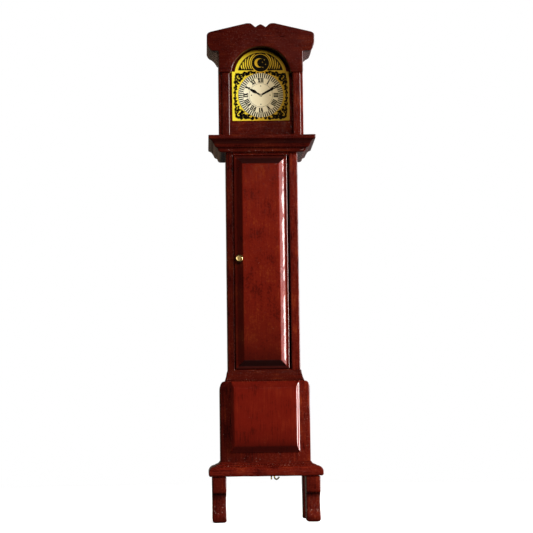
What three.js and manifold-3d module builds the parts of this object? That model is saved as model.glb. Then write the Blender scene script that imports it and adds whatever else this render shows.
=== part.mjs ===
// A longcase clock for a dolls' house, at one inch to the foot. A lacquered wooden case stands on four
// bracket feet. Its trunk door turns on two pins, and weights, chains and a pendulum hang inside.
// Millimetres. The origin is on the floor under the middle of the case, +Z is up and the dial faces -Y.

import * as THREE from "three";
import { mergeVertices } from "three/addons/utils/BufferGeometryUtils.js";
import Module from "manifold-3d";

const wasm = await Module();
wasm.setup();

// Levels above the floor.
const plinthBottom = 16.3;
const baseTop = 50.3;
const trunkTop = 137.9;
const seatTop = 139.5;
const archSpring = 163;
const ceiling = 174.7;
const roofTop = 176.3;
const crestTop = 181.3;

// Each stage has a half width and a front face. All of them share one back plane.
const boardThickness = 1.6;
const backPlane = 15;
const backInside = backPlane - boardThickness;
const base = { half: 16.2, front: -10.65 };
const trunk = { half: 13.1, front: -7.45 };
const hood = { half: 15.45, front: -8.5, boardFront: -11.2 };

const baseInside = base.half - boardThickness;
const trunkInside = trunk.half - boardThickness;
const hoodInside = hood.half - boardThickness;
const baseFrontBack = base.front + boardThickness;
const trunkFrontBack = trunk.front + boardThickness;

// The trunk door, its pins and the frame around it. The gap at the hinge side is the widest.
const door = { left: -10.35, right: 9.15, bottom: 54.7, top: 132.7, back: -5.9, edge: -7.9, field: -9 };
const frameOpening = { left: -10.55, right: 9.9, bottom: 54.45, top: 132.95 };
const hinge = { x: 8.45, y: -6.75, pin: 0.4, socket: 0.42, bore: 0.46, reach: 2.3, clearance: 0.2 };
const knob = { x: -8.8, z: 94.7, back: -9.05, face: -10.8, stemEnd: -6.6, stem: 0.4, socket: 0.42 };

// What hangs in the trunk: every piece hangs from an eye or a hook and swings about its top.
const eye = { level: trunkTop - 2.2, ring: 0.9, wire: 0.3, shank: 0.35, socket: 0.37, shankTop: 139.1 };
const chain = { radius: 0.35, top: eye.level - 1.5, sides: 8 };
const weight = { x: 5.6, y: -1.5, radius: 2.4, height: 16, bottomLeft: 72, bottomRight: 88 };
const tail = { x: 3, y: 3, hookBottomLeft: 30.4, hookBottomRight: 14.4 };
const wallHook = { wire: 0.35, level: trunkTop - 2.6, tip: 5.8, tipRise: 1 };
const pendulum = {
  y: 7,
  loop: wallHook.level - 0.25,
  rod: 0.3,
  rodBottom: 64.8,
  bobLevel: 72,
  bobRadius: 5,
};

const lacquer = { roughness: 0.3, metalness: 0 };
const finishes = {
  caseWood: { color: 0x4a110c, ...lacquer },
  doorWood: { color: 0x6a170d, ...lacquer },
  foil: { color: 0xc9a53a, roughness: 0.35, metalness: 0.7 },
  brass: { color: 0xb08d42, roughness: 0.3, metalness: 1 },
};

const clock = new THREE.Group();
const sides = [
  { name: "left", sign: -1 },
  { name: "right", sign: 1 },
];

function add(name, geometry, finish) {
  const mesh = new THREE.Mesh(geometry, new THREE.MeshStandardMaterial(finish));
  mesh.name = name;
  clock.add(mesh);
}

// The span between two distances from the middle, on the left (-1) or on the right (1).
function span(sign, near, far) {
  return sign > 0 ? [near, far] : [-far, -near];
}

function slab([x0, x1], [y0, y1], [z0, z1]) {
  const box = new THREE.BoxGeometry(x1 - x0, y1 - y0, z1 - z0);
  return box.translate((x0 + x1) / 2, (y0 + y1) / 2, (z0 + z1) / 2);
}

// The points of a line that runs through straight moves [x, y] and curves [control x, control y, x, y].
function trace(start, moves, curveSteps = 5) {
  const path = new THREE.Path().moveTo(...start);
  for (const move of moves) {
    if (move.length === 2) path.lineTo(...move);
    else path.quadraticCurveTo(...move);
  }
  return path.getPoints(curveSteps);
}

// A half outline that starts and ends on the middle line, closed by its own mirror image.
function withMirror(points) {
  const mirrored = points.slice(1, -1).reverse();
  return [...points, ...mirrored.map((point) => new THREE.Vector2(-point.x, point.y))];
}

// An outline carried from one end to the other. place gives each corner's position at either end.
function carry(points, place) {
  const geometry = new THREE.ExtrudeGeometry(new THREE.Shape(points), { depth: 1, bevelEnabled: false });
  const position = geometry.attributes.position;
  for (let i = 0; i < position.count; i += 1) {
    const atFarEnd = position.getZ(i) > 0.5;
    position.setXYZ(i, ...place(position.getX(i), position.getY(i), atFarEnd));
  }
  return geometry;
}

// Outlines drawn as (y, z) and carried along X, or drawn as (x, z) and carried along Y.
function prismAlongX(points, [x0, x1]) {
  return carry(points, (y, z, atFarEnd) => [atFarEnd ? x1 : x0, y, z]);
}

function prismAlongY(points, [y0, y1]) {
  return carry(points, (x, z, atFarEnd) => [x, atFarEnd ? y0 : y1, z]);
}

// Three lengths of moulding round the front and the sides of a stage, mitred at the front corners.
// The profile is drawn as (distance out from the wall, height above the bottom edge).
function addMoulding(name, points, stage, bottom) {
  const { half, front } = stage;
  const frontPiece = carry(points, (out, up, atLeft) => [
    (atLeft ? -1 : 1) * (half + out),
    front - out,
    bottom + up,
  ]);
  const leftPiece = carry(points, (out, up, atBack) => [
    -half - out,
    atBack ? backPlane : front - out,
    bottom + up,
  ]);
  const rightPiece = carry(points, (out, up, atFront) => [
    half + out,
    atFront ? front - out : backPlane,
    bottom + up,
  ]);
  add(`${name}_front`, frontPiece, finishes.caseWood);
  add(`${name}_left`, leftPiece, finishes.caseWood);
  add(`${name}_right`, rightPiece, finishes.caseWood);
}

// A panel built from rectangles {x0, x1, z0, z1, y}, from its back face to its front face.
function panel(rings) {
  const corners = rings.flatMap(({ x0, x1, z0, z1, y }) => [x0, y, z0, x1, y, z0, x1, y, z1, x0, y, z1]);
  const faces = [0, 3, 2, 0, 2, 1];
  for (let ring = 1; ring < rings.length; ring += 1) {
    for (let side = 0; side < 4; side += 1) {
      const behind = (ring - 1) * 4;
      const next = (side + 1) % 4;
      faces.push(behind + side, behind + next, behind + 4 + next);
      faces.push(behind + side, behind + 4 + next, behind + 4 + side);
    }
  }
  const last = (rings.length - 1) * 4;
  faces.push(last, last + 1, last + 2, last, last + 2, last + 3);
  const geometry = new THREE.BufferGeometry();
  geometry.setAttribute("position", new THREE.Float32BufferAttribute(corners, 3));
  return geometry.setIndex(faces);
}

function inset({ x0, x1, z0, z1 }, margin, y) {
  return { x0: x0 + margin, x1: x1 - margin, z0: z0 + margin, z1: z1 - margin, y };
}

// Round bars. A post stands along Z, a pin lies along Y, and a ring hangs in the XZ plane.
function post(x, y, [z0, z1], radius, segments = 12) {
  const bar = new THREE.CylinderGeometry(radius, radius, z1 - z0, segments);
  return bar.rotateX(Math.PI / 2).translate(x, y, (z0 + z1) / 2);
}

function pin(x, [y0, y1], z, radius, segments = 12) {
  const bar = new THREE.CylinderGeometry(radius, radius, y1 - y0, segments);
  return bar.translate(x, (y0 + y1) / 2, z);
}

function ring(x, y, z, radius, wire) {
  return new THREE.TorusGeometry(radius, wire, 8, 20).rotateX(Math.PI / 2).translate(x, y, z);
}

// A turned solid: its profile is [radius, height] pairs that start and end on the axis.
function turned(profile, segments = 20) {
  const points = profile.map(([radius, height]) => new THREE.Vector2(radius, height));
  return new THREE.LatheGeometry(points, segments);
}

function solidFrom(geometry) {
  const bare = geometry.clone();
  bare.deleteAttribute("normal");
  bare.deleteAttribute("uv");
  const merged = mergeVertices(bare);
  const vertProperties = merged.attributes.position.array;
  const triVerts = new Uint32Array(merged.index.array);
  return new wasm.Manifold(new wasm.Mesh({ numProp: 3, vertProperties, triVerts }));
}

function geometryFrom(solid) {
  const { vertProperties, triVerts } = solid.getMesh();
  const geometry = new THREE.BufferGeometry();
  geometry.setAttribute("position", new THREE.BufferAttribute(vertProperties, 3));
  return geometry.setIndex(new THREE.BufferAttribute(triVerts, 1));
}

function cut(body, tools) {
  return geometryFrom(tools.reduce((rest, tool) => rest.subtract(solidFrom(tool)), solidFrom(body)));
}

function join(pieces) {
  return geometryFrom(pieces.map(solidFrom).reduce((whole, piece) => whole.add(piece)));
}

// Feet: a square block above a swept bracket at the front, and a plainer bracket behind.
function addFeet() {
  const footInner = 14.2;
  const footOuter = 19.3;
  const frontProfile = trace(
    [-14, plinthBottom],
    [
      [-14, 10.6],
      [-13.6, 10.2],
      [-12.2, 10],
      [-12.6, 5.5, -13.8, 2],
      [-13.8, 0.9],
      [-13.8, 0, -13, 0],
      [-5.5, 0],
      [-3.6, 5, -3.2, 11],
      [-3, plinthBottom],
    ],
  );
  const rearProfile = trace(
    [7, plinthBottom],
    [
      [7.2, 11],
      [7.6, 5, 9.4, 0],
      [backPlane, 0],
      [backPlane, plinthBottom],
    ],
  );
  for (const { name, sign } of sides) {
    const across = span(sign, footInner, footOuter);
    add(`foot_front_${name}`, prismAlongX(frontProfile, across), finishes.caseWood);
    add(`foot_rear_${name}`, prismAlongX(rearProfile, across), finishes.caseWood);
  }
}

// Base: four walls open below, a deck under the trunk's walls, a raised panel and two mouldings.
function addBase() {
  const shoulderWidth = 1.4;
  const shoulderHeight = 2.8;
  const deckBottom = baseTop - boardThickness;
  const shoulder = trace(
    [base.half, baseTop - shoulderHeight],
    [[base.half, baseTop - 0.2, base.half - shoulderWidth, baseTop]],
  );
  const frontOutline = withMirror([
    new THREE.Vector2(0, plinthBottom),
    new THREE.Vector2(base.half, plinthBottom),
    ...shoulder,
    new THREE.Vector2(0, baseTop),
  ]);
  add("base_front", prismAlongY(frontOutline, [base.front, baseFrontBack]), finishes.caseWood);
  for (const { name, sign } of sides) {
    const inner = new THREE.Vector2(baseInside, baseTop);
    const bottomInner = new THREE.Vector2(baseInside, plinthBottom);
    const bottomOuter = new THREE.Vector2(base.half, plinthBottom);
    const wallCorners = [bottomInner, bottomOuter, ...shoulder, inner];
    const wall = wallCorners.map((point) => new THREE.Vector2(sign * point.x, point.y));
    add(`base_side_${name}`, prismAlongY(wall, [baseFrontBack, backPlane]), finishes.caseWood);
    const deckSpan = span(sign, trunkInside, baseInside);
    const deck = slab(deckSpan, [baseFrontBack, backInside], [deckBottom, baseTop]);
    add(`deck_strip_${name}`, deck, finishes.caseWood);
  }
  const back = slab([-baseInside, baseInside], [backInside, backPlane], [plinthBottom, baseTop]);
  add("base_back", back, finishes.caseWood);
  const frontDeckSpan = [-trunkInside, trunkInside];
  const frontDeck = slab(frontDeckSpan, [baseFrontBack, trunkFrontBack], [deckBottom, baseTop]);
  add("deck_strip_front", frontDeck, finishes.caseWood);
  addBasePanel();

  const plinthProfile = trace(
    [0, 0],
    [
      [3.9, 0],
      [4.3, 0.5],
      [4.3, 1.6],
      [3.9, 3.5, 1.9, 3.8],
      [1.7, 4.1],
      [0.5, 4.3, 0.15, 5.2],
      [0, 5.2],
    ],
  );
  addMoulding("plinth_moulding", plinthProfile, base, plinthBottom);
}

// The raised panel's edge is a quarter round that falls back to the wall.
function addBasePanel() {
  const outer = { x0: -12.25, x1: 12.25, z0: 24.75, z1: 50.15 };
  const square = 0.3;
  const roundWidth = 1.3;
  const roundDepth = 1.2;
  const roundSteps = 5;
  const rings = [inset(outer, 0, base.front)];
  for (let step = 0; step <= roundSteps; step += 1) {
    const angle = ((Math.PI / 2) * step) / roundSteps;
    const margin = roundWidth * (1 - Math.cos(angle));
    rings.push(inset(outer, margin, base.front - square - roundDepth * Math.sin(angle)));
  }
  add("base_panel", panel(rings), finishes.doorWood);
}

// Trunk: side walls, a back, a frame of stiles and rails round the doorway, and the closing mouldings.
function addTrunk() {
  const height = [baseTop, trunkTop];
  for (const { name, sign } of sides) {
    const wall = slab(span(sign, trunkInside, trunk.half), [trunkFrontBack, backPlane], height);
    add(`trunk_side_${name}`, wall, finishes.caseWood);
  }
  const back = slab([-trunkInside, trunkInside], [backInside, backPlane], height);
  add("trunk_back", back, finishes.caseWood);

  const frameDepth = [trunk.front, trunkFrontBack];
  add("stile_left", slab([-trunk.half, frameOpening.left], frameDepth, height), finishes.caseWood);
  add("stile_right", slab([frameOpening.right, trunk.half], frameDepth, height), finishes.caseWood);
  const between = [frameOpening.left, frameOpening.right];
  const topPinEnd = frameOpening.top + hinge.reach - hinge.clearance;
  const bottomPinEnd = frameOpening.bottom - hinge.reach;
  const topSocket = post(hinge.x, hinge.y, [frameOpening.top - 1, topPinEnd], hinge.socket);
  const bottomSocket = post(hinge.x, hinge.y, [bottomPinEnd, frameOpening.bottom + 1], hinge.socket);
  const topRail = cut(slab(between, frameDepth, [frameOpening.top, trunkTop]), [topSocket]);
  const bottomRail = cut(slab(between, frameDepth, [baseTop, frameOpening.bottom]), [bottomSocket]);
  add("top_rail", topRail, finishes.caseWood);
  add("bottom_rail", bottomRail, finishes.caseWood);
  const topPin = [door.top - hinge.reach, topPinEnd];
  const bottomPin = [bottomPinEnd, door.bottom + hinge.reach];
  add("hinge_pin_top", post(hinge.x, hinge.y, topPin, hinge.pin), finishes.brass);
  add("hinge_pin_bottom", post(hinge.x, hinge.y, bottomPin, hinge.pin), finishes.brass);
  const stopDepth = 1;
  const stopAcross = [-trunkInside, door.left + 0.9];
  const stop = slab(stopAcross, [trunkFrontBack, trunkFrontBack + stopDepth], [60, 126]);
  add("door_stop", stop, finishes.caseWood);

  const coveProfile = trace(
    [0, 0],
    [
      [1.4, 0],
      [0.6, 1.6, 0.25, 4.05],
      [0, 4.05],
    ],
  );
  addMoulding("cove_moulding", coveProfile, trunk, baseTop);
  const corniceHeight = 5.8;
  const corniceProfile = trace(
    [0, 0],
    [
      [1.9, 0],
      [2.9, 0.15, 3, 1.2],
      [3.2, 1.4],
      [4.2, 1.6, 4.4, 2.7],
      [4.6, 2.9],
      [5, 3.9, 5.9, 4.2],
      [6.4, 4.4],
      [6.4, corniceHeight],
      [0, corniceHeight],
    ],
  );
  addMoulding("cornice", corniceProfile, trunk, seatTop - corniceHeight);
}

// The door has a flat margin and a bevel that rises to a flat field. Its hinge corner is eased.
function addDoor() {
  const margin = 1.1;
  const bevel = 2;
  const eased = 0.3;
  const outer = { x0: door.left, x1: door.right, z0: door.bottom, z1: door.top };
  const easedOuter = { ...outer, x1: door.right - eased };
  const body = panel([
    inset(outer, 0, door.back),
    inset(outer, 0, door.edge + eased),
    inset(easedOuter, 0, door.edge),
    inset(outer, margin, door.edge),
    inset(outer, margin + bevel, door.field),
  ]);
  const boreDepth = hinge.reach + hinge.clearance;
  const bores = [
    post(hinge.x, hinge.y, [door.top - boreDepth, door.top + 1], hinge.bore),
    post(hinge.x, hinge.y, [door.bottom - 1, door.bottom + boreDepth], hinge.bore),
    pin(knob.x, [door.field - 1, knob.stemEnd], knob.z, knob.socket),
  ];
  add("trunk_door", cut(body, bores), finishes.doorWood);

  const rim = 1.4;
  const depth = knob.back - knob.face;
  const stemLength = knob.stemEnd - knob.back;
  const profile = [
    [0, -stemLength],
    [knob.stem, -stemLength],
    [knob.stem, 0],
    [rim - 0.3, 0],
    [rim, 0.5],
    [rim, depth - 0.3],
    [rim - 0.25, depth],
    [rim - 0.5, depth - 0.1],
    [rim - 0.65, depth - 0.35],
    [0, depth - 0.35],
  ];
  const knobShape = turned(profile, 24).rotateX(Math.PI).translate(knob.x, knob.back, knob.z);
  add("door_knob", knobShape, finishes.brass);
}

// Hood: a dial in an arched recess between two posts, under a front board cut to a low broken pediment.
function addHood() {
  const seatSockets = [];
  for (const { sign } of sides) {
    for (const place of [weight, tail]) {
      seatSockets.push(post(sign * place.x, place.y, [trunkTop - 1, eye.shankTop], eye.socket));
    }
  }
  const seat = slab([-trunk.half, trunk.half], [trunk.front, backPlane], [trunkTop, seatTop]);
  add("seat_board", cut(seat, seatSockets), finishes.caseWood);

  const postInner = 11.55;
  const postOuter = 14.45;
  const postFront = -10.9;
  const crownProfile = trace(
    [0, 0],
    [
      [0.5, 0.3],
      [1.2, 1.9, 2.2, 2.5],
      [2.5, 2.8],
      [3.9, 3.3, 4.1, 4.4],
      [4.3, 4.6],
      [4.3, 6],
      [0, 6],
    ],
  );
  const crownBottom = roofTop - 6;
  for (const { name, sign } of sides) {
    const wall = slab(span(sign, hoodInside, hood.half), [hood.front, backPlane], [seatTop, ceiling]);
    add(`hood_side_${name}`, wall, finishes.caseWood);
    const pillar = slab(span(sign, postInner, postOuter), [postFront, hood.front], [seatTop, archSpring]);
    add(`hood_post_${name}`, pillar, finishes.caseWood);
    const placed = crownProfile.map(
      ({ x, y }) => new THREE.Vector2(sign * (hood.half + x), crownBottom + y),
    );
    add(`crown_moulding_${name}`, prismAlongY(placed, [hood.front, backPlane]), finishes.caseWood);
  }
  const hoodBack = slab([-hoodInside, hoodInside], [backInside, backPlane], [seatTop, ceiling]);
  add("hood_back", hoodBack, finishes.caseWood);
  const hoodRoof = slab([-hood.half, hood.half], [hood.front, backPlane], [ceiling, roofTop]);
  add("hood_roof", hoodRoof, finishes.caseWood);
  add("hood_front", prismAlongY(hoodOutline(), [hood.boardFront, hood.front]), finishes.caseWood);
  addDial();
}

// The front board has a notched crest, sloping shoulders, turned-down ears and a round arch.
function hoodOutline() {
  const arch = { level: 161.78, radius: 10.92 };
  const earOuter = 19.75;
  const earBottom = 171;
  const half = new THREE.Path().moveTo(0, crestTop - 0.4);
  half.quadraticCurveTo(1.1, crestTop - 0.4, 1.95, crestTop - 1.5);
  half.lineTo(3.5, crestTop);
  half.lineTo(5.2, crestTop);
  half.lineTo(18.3, 178.2);
  half.quadraticCurveTo(earOuter, 177.8, earOuter, 176.6);
  half.lineTo(earOuter, 174.2);
  half.quadraticCurveTo(19.3, 172, 18.1, 171.5);
  half.lineTo(17.9, earBottom);
  half.lineTo(hood.half, earBottom);
  half.lineTo(hood.half, archSpring);
  const startAngle = Math.asin((archSpring - arch.level) / arch.radius);
  half.absarc(0, arch.level, arch.radius, startAngle, Math.PI / 2, false);
  return withMirror(half.getPoints(10));
}

// The dial is a thin printed sheet with square shoulders and a round arch, on a plain board.
function addDial() {
  const boardFront = -5.7;
  const sheet = 0.3;
  const halfWidth = 10.55;
  const bottom = 145.95;
  const shoulderLevel = 164.3;
  const arch = { level: 162.96, radius: 9.61 };
  const boardDepth = [boardFront, boardFront + boardThickness];
  const dialBoard = slab([-hoodInside, hoodInside], boardDepth, [seatTop, ceiling]);
  add("dial_board", dialBoard, finishes.caseWood);
  const half = new THREE.Path();
  half.moveTo(0, bottom).lineTo(halfWidth, bottom).lineTo(halfWidth, shoulderLevel);
  const startAngle = Math.asin((shoulderLevel - arch.level) / arch.radius);
  half.absarc(0, arch.level, arch.radius, startAngle, Math.PI / 2, false);
  const outline = withMirror(half.getPoints(10));
  add("dial_plate", prismAlongY(outline, [boardFront - sheet, boardFront]), finishes.foil);
}

// Screw eyes in the seat board, and what hangs from them.
function screwEye(x, y) {
  const top = eye.level + eye.ring;
  return join([ring(x, y, eye.level, eye.ring, eye.wire), post(x, y, [top, eye.shankTop], eye.shank, 8)]);
}

// A round wire bent as a narrow arch over the last link, with one straight leg and one curled leg.
function bentHook(x, y, bottom) {
  const wire = 0.28;
  const legHalf = 0.55;
  const curl = [
    [-legHalf, 0.25],
    [-legHalf, 1.5],
    [-legHalf, 2.55],
    [0, 3.1],
    [legHalf, 2.55],
    [legHalf, 1.2],
    [0.75, 0.6],
    [1.25, wire],
    [1.8, 0.5],
    [2.35, 1.15],
  ];
  const bends = curl.map(([dx, dz]) => new THREE.Vector3(x + dx, y, bottom + dz));
  const along = new THREE.CatmullRomCurve3(bends);
  const section = new THREE.Shape().absarc(0, 0, wire, 0, Math.PI * 2, false).getPoints(4).slice(0, -1);
  return new THREE.ExtrudeGeometry(new THREE.Shape(section), { steps: 36, extrudePath: along });
}

function addHangingPieces() {
  const hookHeight = 3.42;
  for (const { name, sign } of sides) {
    const weightX = sign * weight.x;
    const weightBottom = sign > 0 ? weight.bottomRight : weight.bottomLeft;
    const weightTop = weightBottom + weight.height;
    add(`weight_eye_${name}`, screwEye(weightX, weight.y), finishes.brass);
    const chainUp = post(weightX, weight.y, [weightTop, chain.top], chain.radius, chain.sides);
    add(`weight_chain_${name}`, chainUp, finishes.brass);
    const body = turned([
      [0, 0],
      [weight.radius - 0.4, 0],
      [weight.radius, 0.4],
      [weight.radius, weight.height - 0.8],
      [weight.radius - 0.4, weight.height - 0.4],
      [0.6, weight.height - 0.2],
      [0.45, weight.height],
      [0, weight.height],
    ]);
    body.rotateX(Math.PI / 2).translate(weightX, weight.y, weightBottom);
    add(`weight_${name}`, body, finishes.brass);

    const tailX = sign * tail.x;
    const hookBottom = sign > 0 ? tail.hookBottomRight : tail.hookBottomLeft;
    add(`tail_eye_${name}`, screwEye(tailX, tail.y), finishes.brass);
    const chainSpan = [hookBottom + hookHeight, chain.top];
    const chainDown = post(tailX, tail.y, chainSpan, chain.radius, chain.sides);
    add(`chain_tail_${name}`, chainDown, finishes.brass);
    add(`chain_hook_${name}`, bentHook(tailX, tail.y, hookBottom), finishes.brass);
  }
}

// The pendulum's loop hangs on a hook in the back board, and its bob sits on a rating nut.
function addPendulum() {
  const hookBar = pin(0, [wallHook.tip, backInside], wallHook.level, wallHook.wire, 10);
  const tipSpan = [wallHook.level - wallHook.wire, wallHook.level + wallHook.tipRise];
  const hookTip = post(0, wallHook.tip, tipSpan, wallHook.wire, 10);
  add("pendulum_hook", join([hookBar, hookTip]), finishes.brass);

  const loopRadius = 0.95;
  const loopWire = 0.3;
  const rodTop = pendulum.loop - loopRadius;
  const nutTop = pendulum.bobLevel - pendulum.bobRadius;
  const nut = post(0, pendulum.y, [nutTop - 1.2, nutTop], 0.8, 12);
  const rod = post(0, pendulum.y, [pendulum.rodBottom, rodTop], pendulum.rod, 10);
  const loop = ring(0, pendulum.y, pendulum.loop, loopRadius, loopWire);
  add("pendulum_rod", join([loop, rod, nut]), finishes.brass);

  const bobThickness = 1.8;
  const rimSteps = 8;
  const profile = [];
  for (let step = 0; step <= rimSteps; step += 1) {
    const angle = Math.PI * (step / rimSteps - 0.5);
    profile.push([pendulum.bobRadius * Math.cos(angle), (bobThickness / 2) * Math.sin(angle)]);
  }
  profile[0][0] = 0;
  profile[rimSteps][0] = 0;
  const lens = turned(profile, 28).translate(0, pendulum.y, pendulum.bobLevel);
  const rodHole = post(0, pendulum.y, [nutTop - 1, pendulum.bobLevel + pendulum.bobRadius + 1], 0.34, 12);
  add("pendulum_bob", cut(lens, [rodHole]), finishes.brass);
}

addFeet();
addBase();
addTrunk();
addDoor();
addHood();
addHangingPieces();
addPendulum();

export default clock;
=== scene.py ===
import math

import bmesh
import bpy
import numpy as np
from mathutils import Matrix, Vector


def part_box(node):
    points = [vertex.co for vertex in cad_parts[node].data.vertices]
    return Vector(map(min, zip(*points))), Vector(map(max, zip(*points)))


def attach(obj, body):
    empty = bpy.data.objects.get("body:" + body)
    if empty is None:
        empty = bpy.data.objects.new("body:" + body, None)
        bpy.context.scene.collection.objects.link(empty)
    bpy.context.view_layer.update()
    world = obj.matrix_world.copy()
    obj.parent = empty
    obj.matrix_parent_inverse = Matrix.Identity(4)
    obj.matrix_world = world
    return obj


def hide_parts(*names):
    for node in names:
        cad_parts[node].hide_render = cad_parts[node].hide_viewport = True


# A dolls'-house longcase clock. Lengths are millimetres in the tables and metres in the meshes.
# The origin is on the floor under the case, +Z is up, and the dial faces -Y.
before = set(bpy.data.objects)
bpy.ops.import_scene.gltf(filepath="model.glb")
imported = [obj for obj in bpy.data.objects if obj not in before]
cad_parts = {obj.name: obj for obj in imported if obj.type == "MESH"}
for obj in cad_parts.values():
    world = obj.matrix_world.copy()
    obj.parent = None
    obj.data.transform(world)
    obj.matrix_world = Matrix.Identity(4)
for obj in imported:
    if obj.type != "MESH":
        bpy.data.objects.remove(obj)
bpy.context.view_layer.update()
print("frame loaded:", len(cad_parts), "nodes")

scene = bpy.context.scene
millimetre = 0.001


# A node's lowest and highest corner, in millimetres.
def nodeBox(name):
    low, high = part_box(name)
    return np.array(low) / millimetre, np.array(high) / millimetre


# Camera, floor and light

cameraView = {
    "place": (-21.66, -615, 34.01),
    "turnRight": 2.159,
    "tiltUp": 5.440,
    "roll": -0.733,
    "lens": 113.35,
    "sensor": 36,
    "clip": (0.05, 20),
}


# The camera turns right, tilts up and rolls about its line of sight, all in degrees.
def addCamera(view):
    yaw, pitch, roll = (math.radians(view[angle]) for angle in ("turnRight", "tiltUp", "roll"))
    forward = np.array([
        math.sin(yaw) * math.cos(pitch),
        math.cos(yaw) * math.cos(pitch),
        math.sin(pitch),
    ])
    right = np.array([math.cos(yaw), -math.sin(yaw), 0])
    up = np.cross(right, forward)
    across = right * math.cos(roll) + up * math.sin(roll)
    upward = up * math.cos(roll) - right * math.sin(roll)
    data = bpy.data.cameras.new("camera")
    data.sensor_width = view["sensor"]
    data.lens = view["lens"]
    data.clip_start, data.clip_end = view["clip"]
    camera = bpy.data.objects.new("camera", data)
    turned = Matrix(np.column_stack([across, upward, -forward]).tolist()).to_4x4()
    place = Matrix.Translation([value * millimetre for value in view["place"]])
    camera.matrix_world = place @ turned
    scene.collection.objects.link(camera)
    scene.camera = camera


addCamera(cameraView)

# azimuth is measured from the front, plus to the right
studio = {
    "lights": [
        {"name": "windowRight", "azimuth": 76, "elevation": 6, "distance": 900,
         "size": (420, 540), "power": 25, "colour": (1, 0.98, 0.97), "mirrored": True},
        {"name": "windowEdge", "azimuth": 53, "elevation": 6, "distance": 900,
         "size": (240, 540), "power": 1.7, "colour": (1, 0.76, 0.74), "mirrored": True},
        {"name": "frontSoft", "azimuth": 7, "elevation": 17, "distance": 1000,
         "size": (260, 260), "power": 6.3, "colour": (1, 0.98, 0.96), "mirrored": False},
        {"name": "leftFill", "azimuth": -75, "elevation": 12, "distance": 1000,
         "size": (500, 600), "power": 1.2, "colour": (1, 0.90, 0.80), "mirrored": False},
        {"name": "behindLeft", "azimuth": -158, "elevation": 0, "distance": 900,
         "size": (640, 900), "power": 0.17, "colour": (1, 0.68, 0.42), "mirrored": True},
        {"name": "behindRight", "azimuth": 158, "elevation": 0, "distance": 900,
         "size": (640, 900), "power": 0.26, "colour": (1, 0.84, 0.80), "mirrored": True},
        {"name": "backSoft", "azimuth": 140, "elevation": 45, "distance": 1100,
         "size": (600, 600), "power": 7, "colour": (1, 1, 1), "mirrored": False},
        {"name": "backWindow", "azimuth": 225, "elevation": 12, "distance": 1000,
         "size": (220, 700), "power": 5, "colour": (1, 0.98, 0.96), "mirrored": False},
    ],
    "aim": (0, 0, 92),
    "surround": 0.02,
    "background": 1.0,
    "floorRadius": 420,
    "floorFade": (90, 400),
    "floorColour": (0.9, 0.9, 0.89),
    "floorGlow": 0.75,
}


# A flat lamp that faces the aim from its own direction and distance.
def addLight(light, aim):
    azimuth = math.radians(light["azimuth"])
    elevation = math.radians(light["elevation"])
    away = np.array([
        math.sin(azimuth) * math.cos(elevation),
        -math.cos(azimuth) * math.cos(elevation),
        math.sin(elevation),
    ])
    data = bpy.data.lights.new(light["name"], "AREA")
    data.shape = "RECTANGLE"
    data.size = light["size"][0] * millimetre
    data.size_y = light["size"][1] * millimetre
    data.energy = light["power"]
    data.color = light["colour"]
    lamp = bpy.data.objects.new(light["name"], data)
    across = np.cross([0, 0, 1], away)
    across /= np.linalg.norm(across)
    upward = np.cross(away, across)
    turned = Matrix(np.column_stack([across, upward, away]).tolist()).to_4x4()
    place = (np.array(aim) + away * light["distance"]) * millimetre
    lamp.matrix_world = Matrix.Translation(place.tolist()) @ turned
    lamp.visible_glossy = light["mirrored"]
    lamp.visible_camera = False
    scene.collection.objects.link(lamp)


for light in studio["lights"]:
    addLight(light, studio["aim"])


# Shaders


# A shader socket that can stand in a sum, so that 1 - mask adds its own Math node.
class Value:
    def __init__(self, shader, socket):
        self.shader = shader
        self.socket = socket

    def maths(self, operation, first, second):
        return self.shader.add("ShaderNodeMath", {"operation": operation}, {0: first, 1: second})

    def __add__(self, other):
        return self.maths("ADD", self, other)

    def __radd__(self, other):
        return self.maths("ADD", other, self)

    def __sub__(self, other):
        return self.maths("SUBTRACT", self, other)

    def __rsub__(self, other):
        return self.maths("SUBTRACT", other, self)

    def __mul__(self, other):
        return self.maths("MULTIPLY", self, other)

    def __rmul__(self, other):
        return self.maths("MULTIPLY", other, self)

    def __gt__(self, other):
        return self.maths("GREATER_THAN", self, other)

    def __lt__(self, other):
        return self.maths("LESS_THAN", self, other)


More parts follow.
